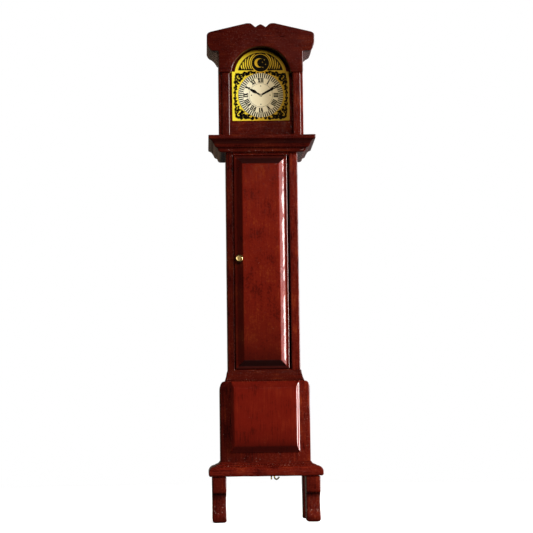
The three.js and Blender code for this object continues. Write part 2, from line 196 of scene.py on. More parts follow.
class Shader:
    def __init__(self, tree):
        self.tree = tree
        tree.nodes.clear()

    # settings go in first, then the sockets' values or links; output picks the socket that is returned
    def add(self, kind, settings, inputs, output=0):
        node = self.tree.nodes.new(kind)
        for name, value in settings.items():
            if name == "stops":
                self.setStops(node.color_ramp, value)
            else:
                setattr(node, name, value)
        for name, value in inputs.items():
            if isinstance(value, Value):
                self.tree.links.new(value.socket, node.inputs[name])
            else:
                node.inputs[name].default_value = value
        return Value(self, node.outputs[output]) if len(node.outputs) else None

    def setStops(self, ramp, stops):
        while len(ramp.elements) < len(stops):
            ramp.elements.new(1)
        for element, (position, colour) in zip(ramp.elements, stops):
            element.position = position
            element.color = (*colour, 1)

    # object coordinates in millimetres, drawn out along an axis whose factor is below 1
    def place(self, factors=(1, 1, 1)):
        where = self.add("ShaderNodeTexCoord", {}, {}, "Object")
        scale = [factor / millimetre for factor in factors]
        return self.add("ShaderNodeMapping", {}, {"Vector": where, "Scale": scale})

    def noise(self, where, size, detail, roughness):
        return self.add("ShaderNodeTexNoise", {}, {
            "Vector": where, "Scale": 1 / size, "Detail": detail, "Roughness": roughness})

    def ramp(self, factor, stops):
        return self.add("ShaderNodeValToRGB", {"stops": stops}, {"Fac": factor})

    # how far a value has come from low to high, as 0 to 1
    def between(self, factor, low, high):
        return self.add("ShaderNodeMapRange", {"clamp": True}, {
            "Value": factor, "From Min": low, "From Max": high, "To Min": 0.0, "To Max": 1.0})

    def mix(self, factor, first, second):
        return self.add("ShaderNodeMix", {"data_type": "RGBA"}, {
            0: factor, 6: first, 7: second}, 2)

    def bump(self, height, distance):
        return self.add("ShaderNodeBump", {}, {
            "Height": height, "Distance": distance * millimetre, "Strength": 1.0})

    def surface(self, inputs):
        surface = self.add("ShaderNodeBsdfPrincipled", {}, inputs)
        self.add("ShaderNodeOutputMaterial", {}, {"Surface": surface})


def newShader(name):
    material = bpy.data.materials.new(name)
    material.use_nodes = True
    return material, Shader(material.node_tree)


def rgb(red, green, blue):
    return (red, green, blue, 1)


# The surround lights the clock dimly, but the camera sees it white.
def addSurround(look):
    world = bpy.data.worlds.new("surround")
    scene.world = world
    world.use_nodes = True
    shader = Shader(world.node_tree)
    direct = shader.add("ShaderNodeLightPath", {}, {}, "Is Camera Ray")
    strength = look["surround"] + direct * (look["background"] - look["surround"])
    glow = shader.add("ShaderNodeBackground", {}, {"Color": rgb(1, 1, 1), "Strength": strength})
    shader.add("ShaderNodeOutputWorld", {}, {"Surface": glow})


addSurround(studio)


# A pale floor that fades away from its middle.
def addFloor(look):
    radius = look["floorRadius"] * millimetre
    bpy.ops.mesh.primitive_circle_add(vertices=96, radius=radius, fill_type="NGON")
    floor = bpy.context.object
    floor.name = "floor"
    material, shader = newShader("paleFloor")
    where = shader.place()
    away = shader.add("ShaderNodeVectorMath", {"operation": "LENGTH"}, {0: where}, 1)
    near, far = look["floorFade"]
    shader.surface({
        "Base Color": rgb(*look["floorColour"]),
        "Roughness": 0.9,
        "Emission Color": rgb(1, 1, 1),
        "Emission Strength": look["floorGlow"],
        "Alpha": 1 - shader.between(away, near, far),
    })
    floor.data.materials.append(material)
    floor.visible_glossy = False
    floor.visible_diffuse = False


addFloor(studio)
scene.view_settings.view_transform = "Standard"
print("camera, floor and lights are in")


# Materials

# "mottled" is the share of fine blotches in the tone, and the near-black colour is where stain and
# painted shade are deepest
caseFinish = {
    "deep": (0.034, 0.0018, 0.0010),
    "wood": (0.090, 0.0068, 0.0030),
    "warm": (0.165, 0.0200, 0.0055),
    "mottled": 0.14,
    "stainAndShadeColour": (0.010, 0.0012, 0.0008),
    "dustAndGlint": (0.36, 0.20, 0.16),
    "roughness": (0.20, 0.30),
    "specular": 0.16,
    "coat": 0.28,
    "coatRoughness": 0.08,
}
doorFinish = {
    **caseFinish,
    "mottled": 0.34,
    "deep": (0.078, 0.0042, 0.0018),
    "wood": (0.150, 0.0090, 0.0034),
    "warm": (0.215, 0.0255, 0.0060),
    "roughness": (0.16, 0.26),
    "coat": 0.5,
    "coatRoughness": 0.05,
}
panelFinish = {
    **doorFinish,
    "mottled": 0.12,
    "wood": (0.150, 0.0078, 0.0032),
    "warm": (0.190, 0.0150, 0.0050),
}


# A layer of noise is (size, detail, roughness). The values of the pale specks, which are dust and
# painted glints, are for a plain surface, and what a surface marked for more of them adds to them.
lacquerPattern = {
    "alongGrain": 0.09,
    "streaks": (0.55, 5, 0.62),
    "pores": (0.16, 2, 0.5),
    "blotches": (7.0, 4, 0.6),
    "mottle": (0.7, 3, 0.65),
    "ripple": (2.2, 2, 0.5),
    "streakShare": 0.62,
    "blotchShare": 0.38,
    "toneStops": (0.40, 0.475, 0.525, 0.62),
    "dustAndGlintPatches": (2.6, 1, 0.5),
    "dustAndGlintSize": (0.09, 0.12),
    "dustAndGlintLimit": (0.68, -0.26),
    "dustAndGlintShows": (0.24, 0.20),
    "mattWhereShaded": (0.78, 0.92),
    "mattRoughness": 0.3,
    "rippleHeight": 0.018,
    "mottleHeight": 0.002,
    "poreDepth": 0.001,
    "dustAndGlintHeight": 0.026,
}


# Mahogany under thick lacquer: long streaks run along the grain, wide blotches lie across them,
# and the lacquer has a soft ripple and pale specks in it, which are dust and painted glints. A mark
# on each point darkens the colour towards near black: stain, and painted shade on the sides away from
# the light, under ledges and in hollows. The lacquer is matt where this painted shade is deepest, so
# that no reflection shows there.
def mahogany(name, look, grain):
    material, shader = newShader(name)
    pattern = lacquerPattern
    grainPlace = shader.place([pattern["alongGrain"] if axis == grain else 1 for axis in "xyz"])
    evenPlace = shader.place()
    streaks = shader.noise(grainPlace, *pattern["streaks"])
    pores = shader.noise(grainPlace, *pattern["pores"])
    blotches = shader.noise(evenPlace, *pattern["blotches"])
    mottle = shader.noise(evenPlace, *pattern["mottle"])
    mottled = look["mottled"]
    tone = streaks * (pattern["streakShare"] - mottled) + blotches * pattern["blotchShare"]
    tone = tone + mottle * mottled
    colours = [look["deep"], look["wood"], look["wood"], look["warm"]]
    colour = shader.ramp(tone, list(zip(pattern["toneStops"], colours)))
    stain = shader.add("ShaderNodeAttribute", {"attribute_name": "stain"}, {}, "Fac")
    dusty = shader.add("ShaderNodeAttribute", {"attribute_name": "dusty"}, {}, "Fac")
    # painted shade and stain: the colour goes towards near black as the mark rises
    colour = shader.mix(stain, colour, rgb(*look["stainAndShadeColour"]))
    # pale specks of dust, and painted glints where a surface is marked for more of them
    cells = shader.add("ShaderNodeTexVoronoi", {}, {"Vector": evenPlace, "Scale": 1.0}, "Distance")
    picked = shader.noise(evenPlace, *pattern["dustAndGlintPatches"])
    size, limit, shows = (clean + dusty * more for clean, more in (
        pattern["dustAndGlintSize"], pattern["dustAndGlintLimit"], pattern["dustAndGlintShows"]))
    dustAndGlint = (cells < size) * (picked > limit)
    colour = shader.mix(dustAndGlint * shows, colour, rgb(*look["dustAndGlint"]))
    low, high = look["roughness"]
    matt = shader.between(stain, *pattern["mattWhereShaded"])
    roughness = low + (high - low) * shader.between(mottle, 0.35, 0.65)
    ripple = shader.noise(evenPlace, *pattern["ripple"])
    height = ripple * pattern["rippleHeight"] + mottle * pattern["mottleHeight"]
    height = height - pores * pattern["poreDepth"] + dustAndGlint * pattern["dustAndGlintHeight"]
    shader.surface({
        "Base Color": colour,
        "Roughness": roughness + matt * pattern["mattRoughness"],
        "Specular IOR Level": look["specular"],
        "Coat Weight": look["coat"] * (1 - matt),
        "Coat Roughness": look["coatRoughness"],
        "Normal": shader.bump(height, 1.0),
    })
    return material


caseUpright = mahogany("caseMahoganyUpright", caseFinish, "z")
caseAcross = mahogany("caseMahoganyAcross", caseFinish, "x")
caseDeep = mahogany("caseMahoganyDeep", caseFinish, "y")
doorUpright = mahogany("doorMahogany", doorFinish, "z")
panelUpright = mahogany("panelMahogany", panelFinish, "z")

brassFinish = {
    "bright": (0.66, 0.47, 0.17),
    "dull": (0.30, 0.20, 0.065),
    "roughness": (0.18, 0.42),
    "metallic": 1.0,
}
dullBrassFinish = {
    "bright": (0.52, 0.38, 0.15),
    "dull": (0.32, 0.22, 0.06),
    "roughness": (0.32, 0.5),
    "metallic": 0.35,
}
hookBrassFinish = {
    "bright": (0.66, 0.49, 0.06),
    "dull": (0.30, 0.22, 0.03),
    "roughness": (0.30, 0.5),
    "metallic": 0.5,
}
agedBrassFinish = {
    "bright": (0.045, 0.030, 0.015),
    "dull": (0.020, 0.012, 0.006),
    "roughness": (0.45, 0.6),
    "metallic": 0.5,
}


# Brass that has gone dull in patches.
def brass(name, look):
    material, shader = newShader(name)
    place = shader.place()
    patches = shader.noise(place, 1.1, 4, 0.6)
    scratches = shader.noise(place, 0.12, 2, 0.5)
    tone = patches * 0.7 + scratches * 0.3
    low, high = look["roughness"]
    shader.surface({
        "Base Color": shader.ramp(tone, [(0.38, look["dull"]), (0.56, look["bright"])]),
        "Metallic": look["metallic"],
        "Roughness": high - (high - low) * shader.between(tone, 0.35, 0.6),
        "Normal": shader.bump(scratches, 0.012),
    })
    return material


brassMaterial = brass("brass", brassFinish)
dullBrass = brass("brassDull", dullBrassFinish)
hookBrass = brass("brassHook", hookBrassFinish)
agedBrass = brass("brassAged", agedBrassFinish)

# painted light and shade: left is the lit colour, right the shaded one
foilFinish = {
    "left": (1.0, 0.84, 0.045),
    "middle": (0.75, 0.44, 0.020),
    "right": (0.36, 0.19, 0.012),
    "half": 10.55,
}
chapterFinish = {
    "left": (0.90, 0.90, 0.66),
    "middle": (0.80, 0.71, 0.45),
    "right": (0.54, 0.42, 0.21),
    "half": 8.3,
}


# A printed sheet with painted light and shade: its colour goes from lit and pale at the left edge
# to shaded and dark at the right edge.
def sheetLitFromLeft(name, look, metallic, roughness):
    material, shader = newShader(name)
    place = shader.place()
    across = shader.add("ShaderNodeSeparateXYZ", {}, {"Vector": place}, "X")
    cloud = shader.noise(place, 3.5, 3, 0.6)
    tone = shader.between(across, -look["half"], look["half"]) + (cloud - 0.5) * 0.28
    litToShaded = [(0.06, look["left"]), (0.45, look["middle"]), (0.95, look["right"])]
    grainy = shader.noise(place, 0.10, 2, 0.6)
    shader.surface({
        "Base Color": shader.ramp(tone, litToShaded),
        "Metallic": metallic,
        "Roughness": roughness + (grainy - 0.5) * 0.15,
        "Normal": shader.bump(grainy + cloud * 1.5, 0.02),
    })
    return material


foilMaterial = sheetLitFromLeft("dialFoil", foilFinish, 0.2, 0.38)
chapterMaterial = sheetLitFromLeft("chapterPaper", chapterFinish, 0.0, 0.5)


# Printing ink that is worn lighter in small patches.
def ink(name, colour):
    material, shader = newShader(name)
    place = shader.place()
    worn = shader.noise(place, 0.35, 3, 0.6)
    lighter = tuple(value * 1.8 + 0.002 for value in colour)
    shader.surface({
        "Base Color": shader.ramp(worn, [(0.45, colour), (0.75, lighter)]),
        "Specular IOR Level": 0.12,
        "Roughness": 0.42 + worn * 0.16,
        "Normal": shader.bump(worn, 0.01),
    })
    return material


inkMaterial = ink("dialInk", (0.004, 0.0036, 0.0026))
print("materials are made")


# Shapes: each is (points, faces), with points in millimetres


# Quads between the neighbours of a grid of points. A wrapped grid joins its last row or column to
# its first.
def gridFaces(rows, columns, wrapColumns=False, wrapRows=False):
    index = np.arange(rows * columns).reshape(rows, columns)
    if wrapRows:
        index = np.vstack([index, index[:1]])
    if wrapColumns:
        index = np.hstack([index, index[:, :1]])
    corners = [index[:-1, :-1], index[1:, :-1], index[1:, 1:], index[:-1, 1:]]
    return np.stack(corners, axis=-1).reshape(-1, 4).tolist()


# Rings of points one after the other, with a flat cap on the first and on the last.
def tubeFaces(rings, corners):
    last = (rings - 1) * corners
    caps = [list(range(corners)), list(range(last, last + corners))]
    return gridFaces(rings, corners, wrapColumns=True) + caps


# Several shapes as one, each one's faces counted on from the points before it.
def joined(shapes):
    points, faces, start = [], [], 0
    for shapePoints, shapeFaces in shapes:
        points.append(shapePoints)
        faces += [[start + corner for corner in face] for face in shapeFaces]
        start += len(shapePoints)
    return np.vstack(points), faces


# Vectors divided by their own lengths.
def unit(vectors):
    return vectors / np.maximum(np.linalg.norm(vectors, axis=-1, keepdims=True), 1e-9)


# How far a value has come from start to end, as 0 to 1.
def progress(value, start, end):
    return np.clip((value - start) / (end - start), 0, 1)


# A bell curve round a level: strength times e to the minus (distance over spread) squared.
def bell(value, level, spread, strength):
    return strength * np.exp(-((value - level) / spread) ** 2)


# How far a quarter-round edge lies below the surface, at a distance from the edge.
def quarterEdge(distance, radius):
    return radius * (1 - np.sqrt(1 - progress(distance, radius, 0) ** 2))


# An uneven surface: a sum of sine waves in fixed directions, from about -1 to 1.
def lumps(points, size, seed):
    draw = np.random.default_rng(seed)
    total = np.zeros(points.shape[:-1])
    waves = 7
    for wave in range(waves):
        direction = unit(draw.normal(size=3))
        rate = 2 * np.pi / (size * draw.uniform(0.7, 1.8))
        total += np.sin(points @ direction * rate + draw.uniform(0, 6.28))
    return total / waves * 1.8


# A quadratic curve: (1 - t)^2 start + 2 t (1 - t) control + t^2 end.
def quadratic(start, control, end, t):
    return (1 - t) ** 2 * start + 2 * t * (1 - t) * control + t ** 2 * end


# Straight moves (a, b) and quadratic curves (control a, control b, a, b) from a start.
def trace(start, moves, steps=7):
    points = np.array([start], float)
    along = np.linspace(0, 1, steps + 1)[1:, None]
    for move in moves:
        if len(move) == 2:
            points = np.vstack([points, move])
        else:
            control, end = np.array(move[:2]), np.array(move[2:])
            points = np.vstack([points, quadratic(points[-1], control, end, along)])
    return points


# Each corner of a closed outline that turns by more than a few degrees becomes a short quadratic
# curve that starts and ends on its two edges. The other points stay.
def softened(points, radius, steps=4):
    toBefore = np.roll(points, 1, axis=0) - points
    toAfter = np.roll(points, -1, axis=0) - points
    startReach = np.minimum(radius, 0.45 * np.linalg.norm(toBefore, axis=1))[:, None]
    endReach = np.minimum(radius, 0.45 * np.linalg.norm(toAfter, axis=1))[:, None]
    start = (points + unit(toBefore) * startReach)[:, None]
    end = (points + unit(toAfter) * endReach)[:, None]
    along = np.linspace(0, 1, steps + 1)[None, :, None]
    bend = quadratic(start, points[:, None], end, along)
    straight = np.sum(unit(toBefore) * unit(toAfter), axis=1) < -0.97
    bend[straight, 0] = points[straight]
    kept = ~straight[:, None] | (np.arange(steps + 1) == 0)
    return bend[kept]


# Half an outline, then the same half backwards on the other side of x = 0.
def mirrored(half):
    other = half[::-1] * [-1, 1]
    keep = np.abs(other[:, 0]) > 1e-6
    return np.vstack([half, other[keep]])


# Outward directions at the corners of a closed outline, as long as a mitre needs.
def outwards(points):
    edge = unit(np.roll(points, -1, axis=0) - points)
    area = np.sum(points[:, 0] * np.roll(points[:, 1], -1) - points[:, 1] * np.roll(points[:, 0], -1))
    side = np.stack([edge[:, 1], -edge[:, 0]], axis=1) * np.sign(area)
    middle = unit(side + np.roll(side, 1, axis=0))
    return middle / np.maximum(np.sum(middle * side, axis=1), 0.6)[:, None]


# A board cut to an outline: the outline is carried from near to far, and drawn in along a quarter
# circle at each end so that the edges are round. axes says where outline a, b and the sweep go.
def board(outline, near, far, nearEdge, farEdge, axes, lump=0.0, seed=1):
    quarter = np.linspace(0, np.pi / 2, 6)
    nearInset, farInset = (edge * (1 - np.sin(quarter)) for edge in (nearEdge, farEdge))
    nearDepth, farDepth = (edge * (1 - np.cos(quarter)) for edge in (nearEdge, farEdge))
    inset = np.concatenate([nearInset, farInset[::-1]])
    depth = np.concatenate([near + nearDepth, far - farDepth[::-1]])
    rings, corners = len(inset), len(outline)
    points = np.zeros((rings, corners, 3))
    points[..., axes[0]] = outline[None, :, 0]
    points[..., axes[1]] = outline[None, :, 1]
    points[..., axes[2]] = depth[:, None]
    drawn = inset[:, None] + lump * (1 + lumps(points, 2.6, seed))
    direction = outwards(outline)
    points[..., axes[0]] -= drawn * direction[None, :, 0]
    points[..., axes[1]] -= drawn * direction[None, :, 1]
    return points.reshape(-1, 3), tubeFaces(rings, corners)


# The skin of a box as a grid of lines in each direction, with the points of its edges shared.
def boxSkin(lines):
    parts, faces, start = [], [], 0
    for fixed in range(3):
        first, second = [axis for axis in range(3) if axis != fixed]
        a, b = np.meshgrid(lines[first], lines[second], indexing="ij")
        for level in (lines[fixed][0], lines[fixed][-1]):
            side = np.zeros((*a.shape, 3))
            side[..., first], side[..., second], side[..., fixed] = a, b, level
            parts.append(side.reshape(-1, 3))
            faces.append(np.array(gridFaces(*a.shape)) + start)
            start += a.size
    points, shared = np.unique(np.round(np.vstack(parts), 6), axis=0, return_inverse=True)
    return points, shared.ravel()[np.vstack(faces)].tolist()


# Grid lines of a slab in each direction. Near the edges they crowd, at radius * (1 - tan angle).
def slabLines(low, high, radius, cell):
    turn = np.tan(np.linspace(np.pi / 4, 0, 5))
    lines = []
    for start, end in zip(low, high):
        edge = radius * (1 - turn)
        count = max(2, int((end - start) / cell))
        middle = np.linspace(start + radius, end - radius, count)
        lines.append(np.unique(np.round(np.concatenate([start + edge, middle, end - edge]), 6)))
    return lines


# A slab with round edges: each point of the box is pulled back to a smaller core box, then pushed
# out by the radius in the direction that it came from, less a little where the lacquer is thin.
def roundedSlab(low, high, radius, cell, lump, seed):
    points, faces = boxSkin(slabLines(low, high, radius, cell))
    core = np.clip(points, low + radius, high - radius)
    reach = radius - lump * (1 + lumps(points, 3.2, seed)) / 2
    return core + unit(points - core) * reach[:, None], faces


# A turned solid about an axis: profile is (radius, height) from pole to pole.
def turned(profile, centre, axis, segments=40):
    profile = np.array(profile, float)
    angle = np.linspace(0, 2 * np.pi, segments, endpoint=False)
    first, second = [other for other in range(3) if other != axis]
    ring = profile[1:-1]
    points = np.zeros((len(ring), segments, 3))
    points[..., first] = ring[:, 0, None] * np.cos(angle)
    points[..., second] = ring[:, 0, None] * np.sin(angle)
    points[..., axis] = ring[:, 1, None]
    poles = np.zeros((2, 3))
    poles[:, axis] = profile[[0, -1], 1]
    faces = gridFaces(len(ring), segments, wrapColumns=True)
    after = np.roll(np.arange(segments), -1)
    count = len(ring) * segments
    faces += [[count, int(after[k]), k] for k in range(segments)]
    last = count - segments
    faces += [[count + 1, last + k, last + int(after[k])] for k in range(segments)]
    return np.vstack([points.reshape(-1, 3), poles]) + np.array(centre), faces


# A round wire: a circle carried along a path, kept square to it, with flat ends.
def wire(path, radius, sides=10):
    path = np.array(path, float)
    tangent = unit(np.gradient(path, axis=0))
    flat = np.ptp(path, axis=0).argmin()
    across = np.zeros(3)
    across[flat] = 1
    first = unit(np.cross(tangent, across))
    second = np.cross(tangent, first)
    angle = np.linspace(0, 2 * np.pi, sides, endpoint=False)[None, :, None]
    points = path[:, None] + radius * (np.cos(angle) * first[:, None] + np.sin(angle) * second[:, None])
    return points.reshape(-1, 3), tubeFaces(len(path), sides)


# A smooth path through points: a Catmull-Rom curve, which leaves each point along the line between
# its two neighbours.
def smoothPath(points, steps=6):
    points = np.array(points, float)
    padded = np.vstack([2 * points[0] - points[1], points, 2 * points[-1] - points[-2]])
    a, b, c, d = padded[:-3], padded[1:-2], padded[2:-1], padded[3:]
    t = np.linspace(0, 1, steps, endpoint=False)[None, :, None]
    a, b, c, d = (part[:, None] for part in (a, b, c, d))
    bend = 0.5 * (2 * b + (c - a) * t + (2 * a - 5 * b + 4 * c - d) * t ** 2
                  + (3 * b - a - 3 * c + d) * t ** 3)
    return np.vstack([bend.reshape(-1, points.shape[1]), points[-1:]])


# How dark the stain and painted shade are, and how many pale specks of dust and painted glints
# there are, are numbers or one value per point.
def addPiece(name, shape, materials, body, nodes=(), slot=None, sharp=40, chooser=None,
             stain=0.0, dusty=0.0):
    points, faces = shape
    mesh = bpy.data.meshes.new(name)
    mesh.from_pydata((points * millimetre).tolist(), [], faces)
    for mark, values in (("stain", stain), ("dusty", dusty)):
        values = np.broadcast_to(np.asarray(values, dtype=float), len(points))
        mesh.attributes.new(mark, "FLOAT", "POINT").data.foreach_set("value", values.copy())
    skin = bmesh.new()
    skin.from_mesh(mesh)
    bmesh.ops.recalc_face_normals(skin, faces=skin.faces)
    caps = [face for face in skin.faces if len(face.verts) > 4]
    bmesh.ops.triangulate(skin, faces=caps, ngon_method="EAR_CLIP")
    skin.to_mesh(mesh)
    skin.free()
    for material in materials if isinstance(materials, list) else [materials]:
        mesh.materials.append(material)
    mesh.polygons.foreach_set("use_smooth", [True] * len(mesh.polygons))
    if chooser:
        centres = np.zeros(len(mesh.polygons) * 3)
        mesh.polygons.foreach_get("center", centres)
        mesh.polygons.foreach_set("material_index", chooser(centres.reshape(-1, 3) / millimetre))
    mesh.set_sharp_from_angle(angle=math.radians(sharp))
    mesh.update()
    piece = bpy.data.objects.new(name, mesh)
    scene.collection.objects.link(piece)
    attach(piece, body)
    if nodes:
        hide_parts(*nodes)
    return piece


# A piece of the case is named after its node and stands in for it.
def addCasePiece(node, shape, material, nodes=None, **more):
    addPiece(f"{node}_lacquered", shape, material, "case", nodes or [node], "case_mahogany", **more)


# Plain boards of the case

# show boards stand at the front and have rounder edges than the others: edge, cell and lump
boards = {
    "plain": (0.10, 2.0, 0.02),
    "show": (0.42, 1.0, 0.05),
    # painted shade: the left-hand stile and post are darker than the right-hand ones, on the side away
    # from the light, and the posts and the dial board inside the hood are darker too
    "stain": {"stile_left": 0.52, "stile_right": 0.10, "hood_post_left": 0.62,
              "hood_post_right": 0.42, "dial_board": 0.4},
}


def addBoards(look):
    groups = [
        (0, "plain", caseUpright, ["trunk_side_left", "trunk_side_right", "trunk_back", "base_back",
                                   "hood_side_left", "hood_side_right", "hood_back"]),
        (20, "show", caseUpright, ["stile_left", "stile_right", "hood_post_left", "hood_post_right"]),
        (30, "plain", caseAcross, ["hood_roof", "dial_board"]),
    ]
    for firstSeed, kind, material, nodes in groups:
        for seed, node in enumerate(nodes, firstSeed):
            shape = roundedSlab(*nodeBox(node), *look[kind], seed)
            addCasePiece(node, shape, material, stain=look["stain"].get(node, 0.0))


addBoards(boards)

# lowBand is the band above the base's foot, which is darker and dusty, and the painted glints on
# the shoulder fade in from its right edge and down from its top
baseShape = {
    "shoulderWidth": 1.5,
    "shoulderHeight": 3.0,
    "edge": 0.5,
    "tightEdge": 0.05,
    "sideEdge": 0.25,
    "lump": 0.04,
    "sideLump": 0.01,
    "stain": 0.5,
    "footShade": 0.15,
    "dusty": 0.5,
    "lowBand": (7.5, 5.0),
    "rightGlints": (2.0, 1.2),
    "topGlints": (12, 7),
}


# The base's front and sides share one outline: straight walls with a round shoulder at the top.
# The front has painted shade that fades from left to right, away from the light, and more painted
# shade along its foot, where dust lies too; the pale specks on its right shoulder are painted glints.
def addBase(look):
    low, high = nodeBox("base_front")
    half, bottom, top = high[0], low[2], high[2]
    shoulder = trace(
        [half, top - look["shoulderHeight"]],
        [(half, top - 0.2, half - look["shoulderWidth"], top)],
    )
    front = mirrored(np.vstack([[0, bottom], [half, bottom], shoulder, [0, top]]))
    tight = look["tightEdge"]
    shape = board(front, low[1], high[1], look["edge"], tight, (0, 2, 1), look["lump"], 41)
    x, z = shape[0][:, 0], shape[0][:, 2]
    lowBand = progress(z - bottom, *look["lowBand"])
    shoulderGlints = progress(half - x, *look["rightGlints"]) * progress(top - z, *look["topGlints"])
    # painted shade: darker on the left, away from the light, and along the foot
    stain = look["stain"] * progress(x, half, -half) + look["footShade"] * lowBand
    dusty = look["dusty"] * (lowBand + shoulderGlints)
    addCasePiece("base_front", shape, caseUpright, stain=stain, dusty=dusty)
    for sign, side in ((-1, "left"), (1, "right")):
        wallLow, wallHigh = nodeBox(f"base_side_{side}")
        inner = wallLow[0] if sign > 0 else -wallHigh[0]
        wall = np.vstack([[inner, bottom], [half, bottom], shoulder, [inner, top]]) * [sign, 1]
        shape = board(softened(wall, tight, 2), wallLow[1], wallHigh[1], tight, look["sideEdge"],
                      (0, 2, 1), look["sideLump"], 43)
        addCasePiece(f"base_side_{side}", shape, caseUpright)


addBase(baseShape)

# waist, the step's painted shade and the painted glints are bell curves up the foot: level, spread
# and strength
feetShape = {
    "soft": 0.85,
    "edge": 0.42,
    "lump": 0.04,
    "waist": (7.0, 3.2, 0.10),
    "toeRadius": 1.2,
    "toeNarrowing": 0.8,
    # painted shade: the left foot is darker, on the side away from the light
    "stain": {"left": 0.35, "right": 0.22},
    "patchStain": 0.2,
    "patchSize": 2.4,
    "stepShade": (9.6, 1.1, 0.55),
    "soleShade": 0.3,
    "soleHeight": 1.6,
    "glints": (4.6, 1.7, 1.3),
}


# A foot's outline in (y, z), with soft corners, carried across its width in x.
def footBoard(outline, low, high, look, seed):
    rounded = softened(outline, look["soft"])
    return board(rounded, low[0], high[0], look["edge"], look["edge"], (1, 2, 0), look["lump"], seed)


# A front foot is a board cut to a bracket outline in (y, z). It is narrower at its waist, and its
# sides come in under the toe along a quarter circle.
def addFrontFoot(side, look, seed):
    low, high = nodeBox(f"foot_front_{side}")
    toe, heel, top = low[1], high[1], high[2]
    outline = trace([toe, top], [
        (toe, 10.4),
        (toe + 1.8, 10.0),
        (toe + 1.4, 5.5, toe + 0.2, 2),
        (toe + 0.2, 0.9),
        (toe + 0.2, 0, toe + 1, 0),
        (heel - 2.5, 0),
        (heel - 0.6, 5, heel - 0.2, 11),
        (heel, top),
    ])
    points, faces = footBoard(outline, low, high, look, seed)
    height = points[:, 2]
    radius = look["toeRadius"]
    narrowing = bell(height, *look["waist"])
    narrowing += look["toeNarrowing"] * quarterEdge(height, radius) / radius
    points[:, 0] -= np.sign(points[:, 0] - (low[0] + high[0]) / 2) * narrowing
    # painted shade: darker on the left foot, in the crease under the step and towards the sole, with
    # random darker patches; the pale specks low on the foot are painted glints
    stain = look["stain"][side] + look["patchStain"] * lumps(points, look["patchSize"], seed + 9)
    stain += bell(height, *look["stepShade"])
    stain += look["soleShade"] * progress(height, look["soleHeight"], 0)
    addCasePiece(f"foot_front_{side}", (points, faces), caseUpright,
                 stain=stain, dusty=bell(height, *look["glints"]))


def addRearFoot(side, look, seed):
    low, high = nodeBox(f"foot_rear_{side}")
    near, far, top = low[1], high[1], high[2]
    outline = trace([near, top], [
        (near + 0.2, 11),
        (near + 0.6, 5, near + 2.4, 0),
        (far, 0),
        (far, top),
    ])
    addCasePiece(f"foot_rear_{side}", footBoard(outline, low, high, look, seed), caseUpright)


for seed, side in enumerate(("left", "right"), 50):
    addFrontFoot(side, feetShape, seed)
    addRearFoot(side, feetShape, seed + 5)
print("base and feet are made")

# Mouldings: a profile goes (out, up) from the wall and the moulding's lower edge. The darkening,
# which is painted shade in the hollows, under the lips and where a moulding meets a wall, and the
# pale specks of dust and painted glints, are (up, value) pairs.

mouldings = {
    "corner": 0.3,
    "cell": 0.8,
    "soft": 0.22,
    "plinth_moulding": {
        "profile": [(3.9, 0), (4.3, 0.5), (4.3, 1.6), (3.9, 3.5, 1.9, 3.8), (1.7, 4.1),
                    (0.5, 4.3, 0.15, 5.2), (0, 5.2)],
        "lump": 0.09,
        "stain": [(0, 0.05), (3.0, 0.0), (4.2, 0.30), (5.2, 0.45)],
        "dusty": [(3.2, 0.0), (4.0, 0.8), (5.2, 0.7)],
    },
    "cove_moulding": {
        "profile": [(1.4, 0), (0.6, 1.6, 0.25, 4.05), (0, 4.05)],
        "lump": 0.05,
        "stain": [(0, 0.72), (1.4, 0.55), (4.05, 0.64)],
        "dusty": [(0, 0.7), (1.6, 0.5), (3.2, 0.1)],
    },
    "cornice": {
        "profile": [(1.9, 0), (2.9, 0.15, 3, 1.2), (3.2, 1.4), (4.2, 1.6, 4.4, 2.7), (4.6, 2.9),
                    (5, 3.9, 5.9, 4.2), (6.4, 4.4), (6.4, 5.8), (0, 5.8)],
        "lump": 0.06,
        "stain": [(0, 0.45), (0.4, 0.40), (1.0, 0.65), (1.35, 0.85), (1.7, 0.50), (2.6, 0.62),
                  (3.0, 0.88), (3.9, 0.84), (4.3, 0.62), (5.5, 0.60), (5.8, 0.30)],
        "dusty": [(0.6, 0.9), (1.3, 0.1), (5.8, 0.1)],
    },
}


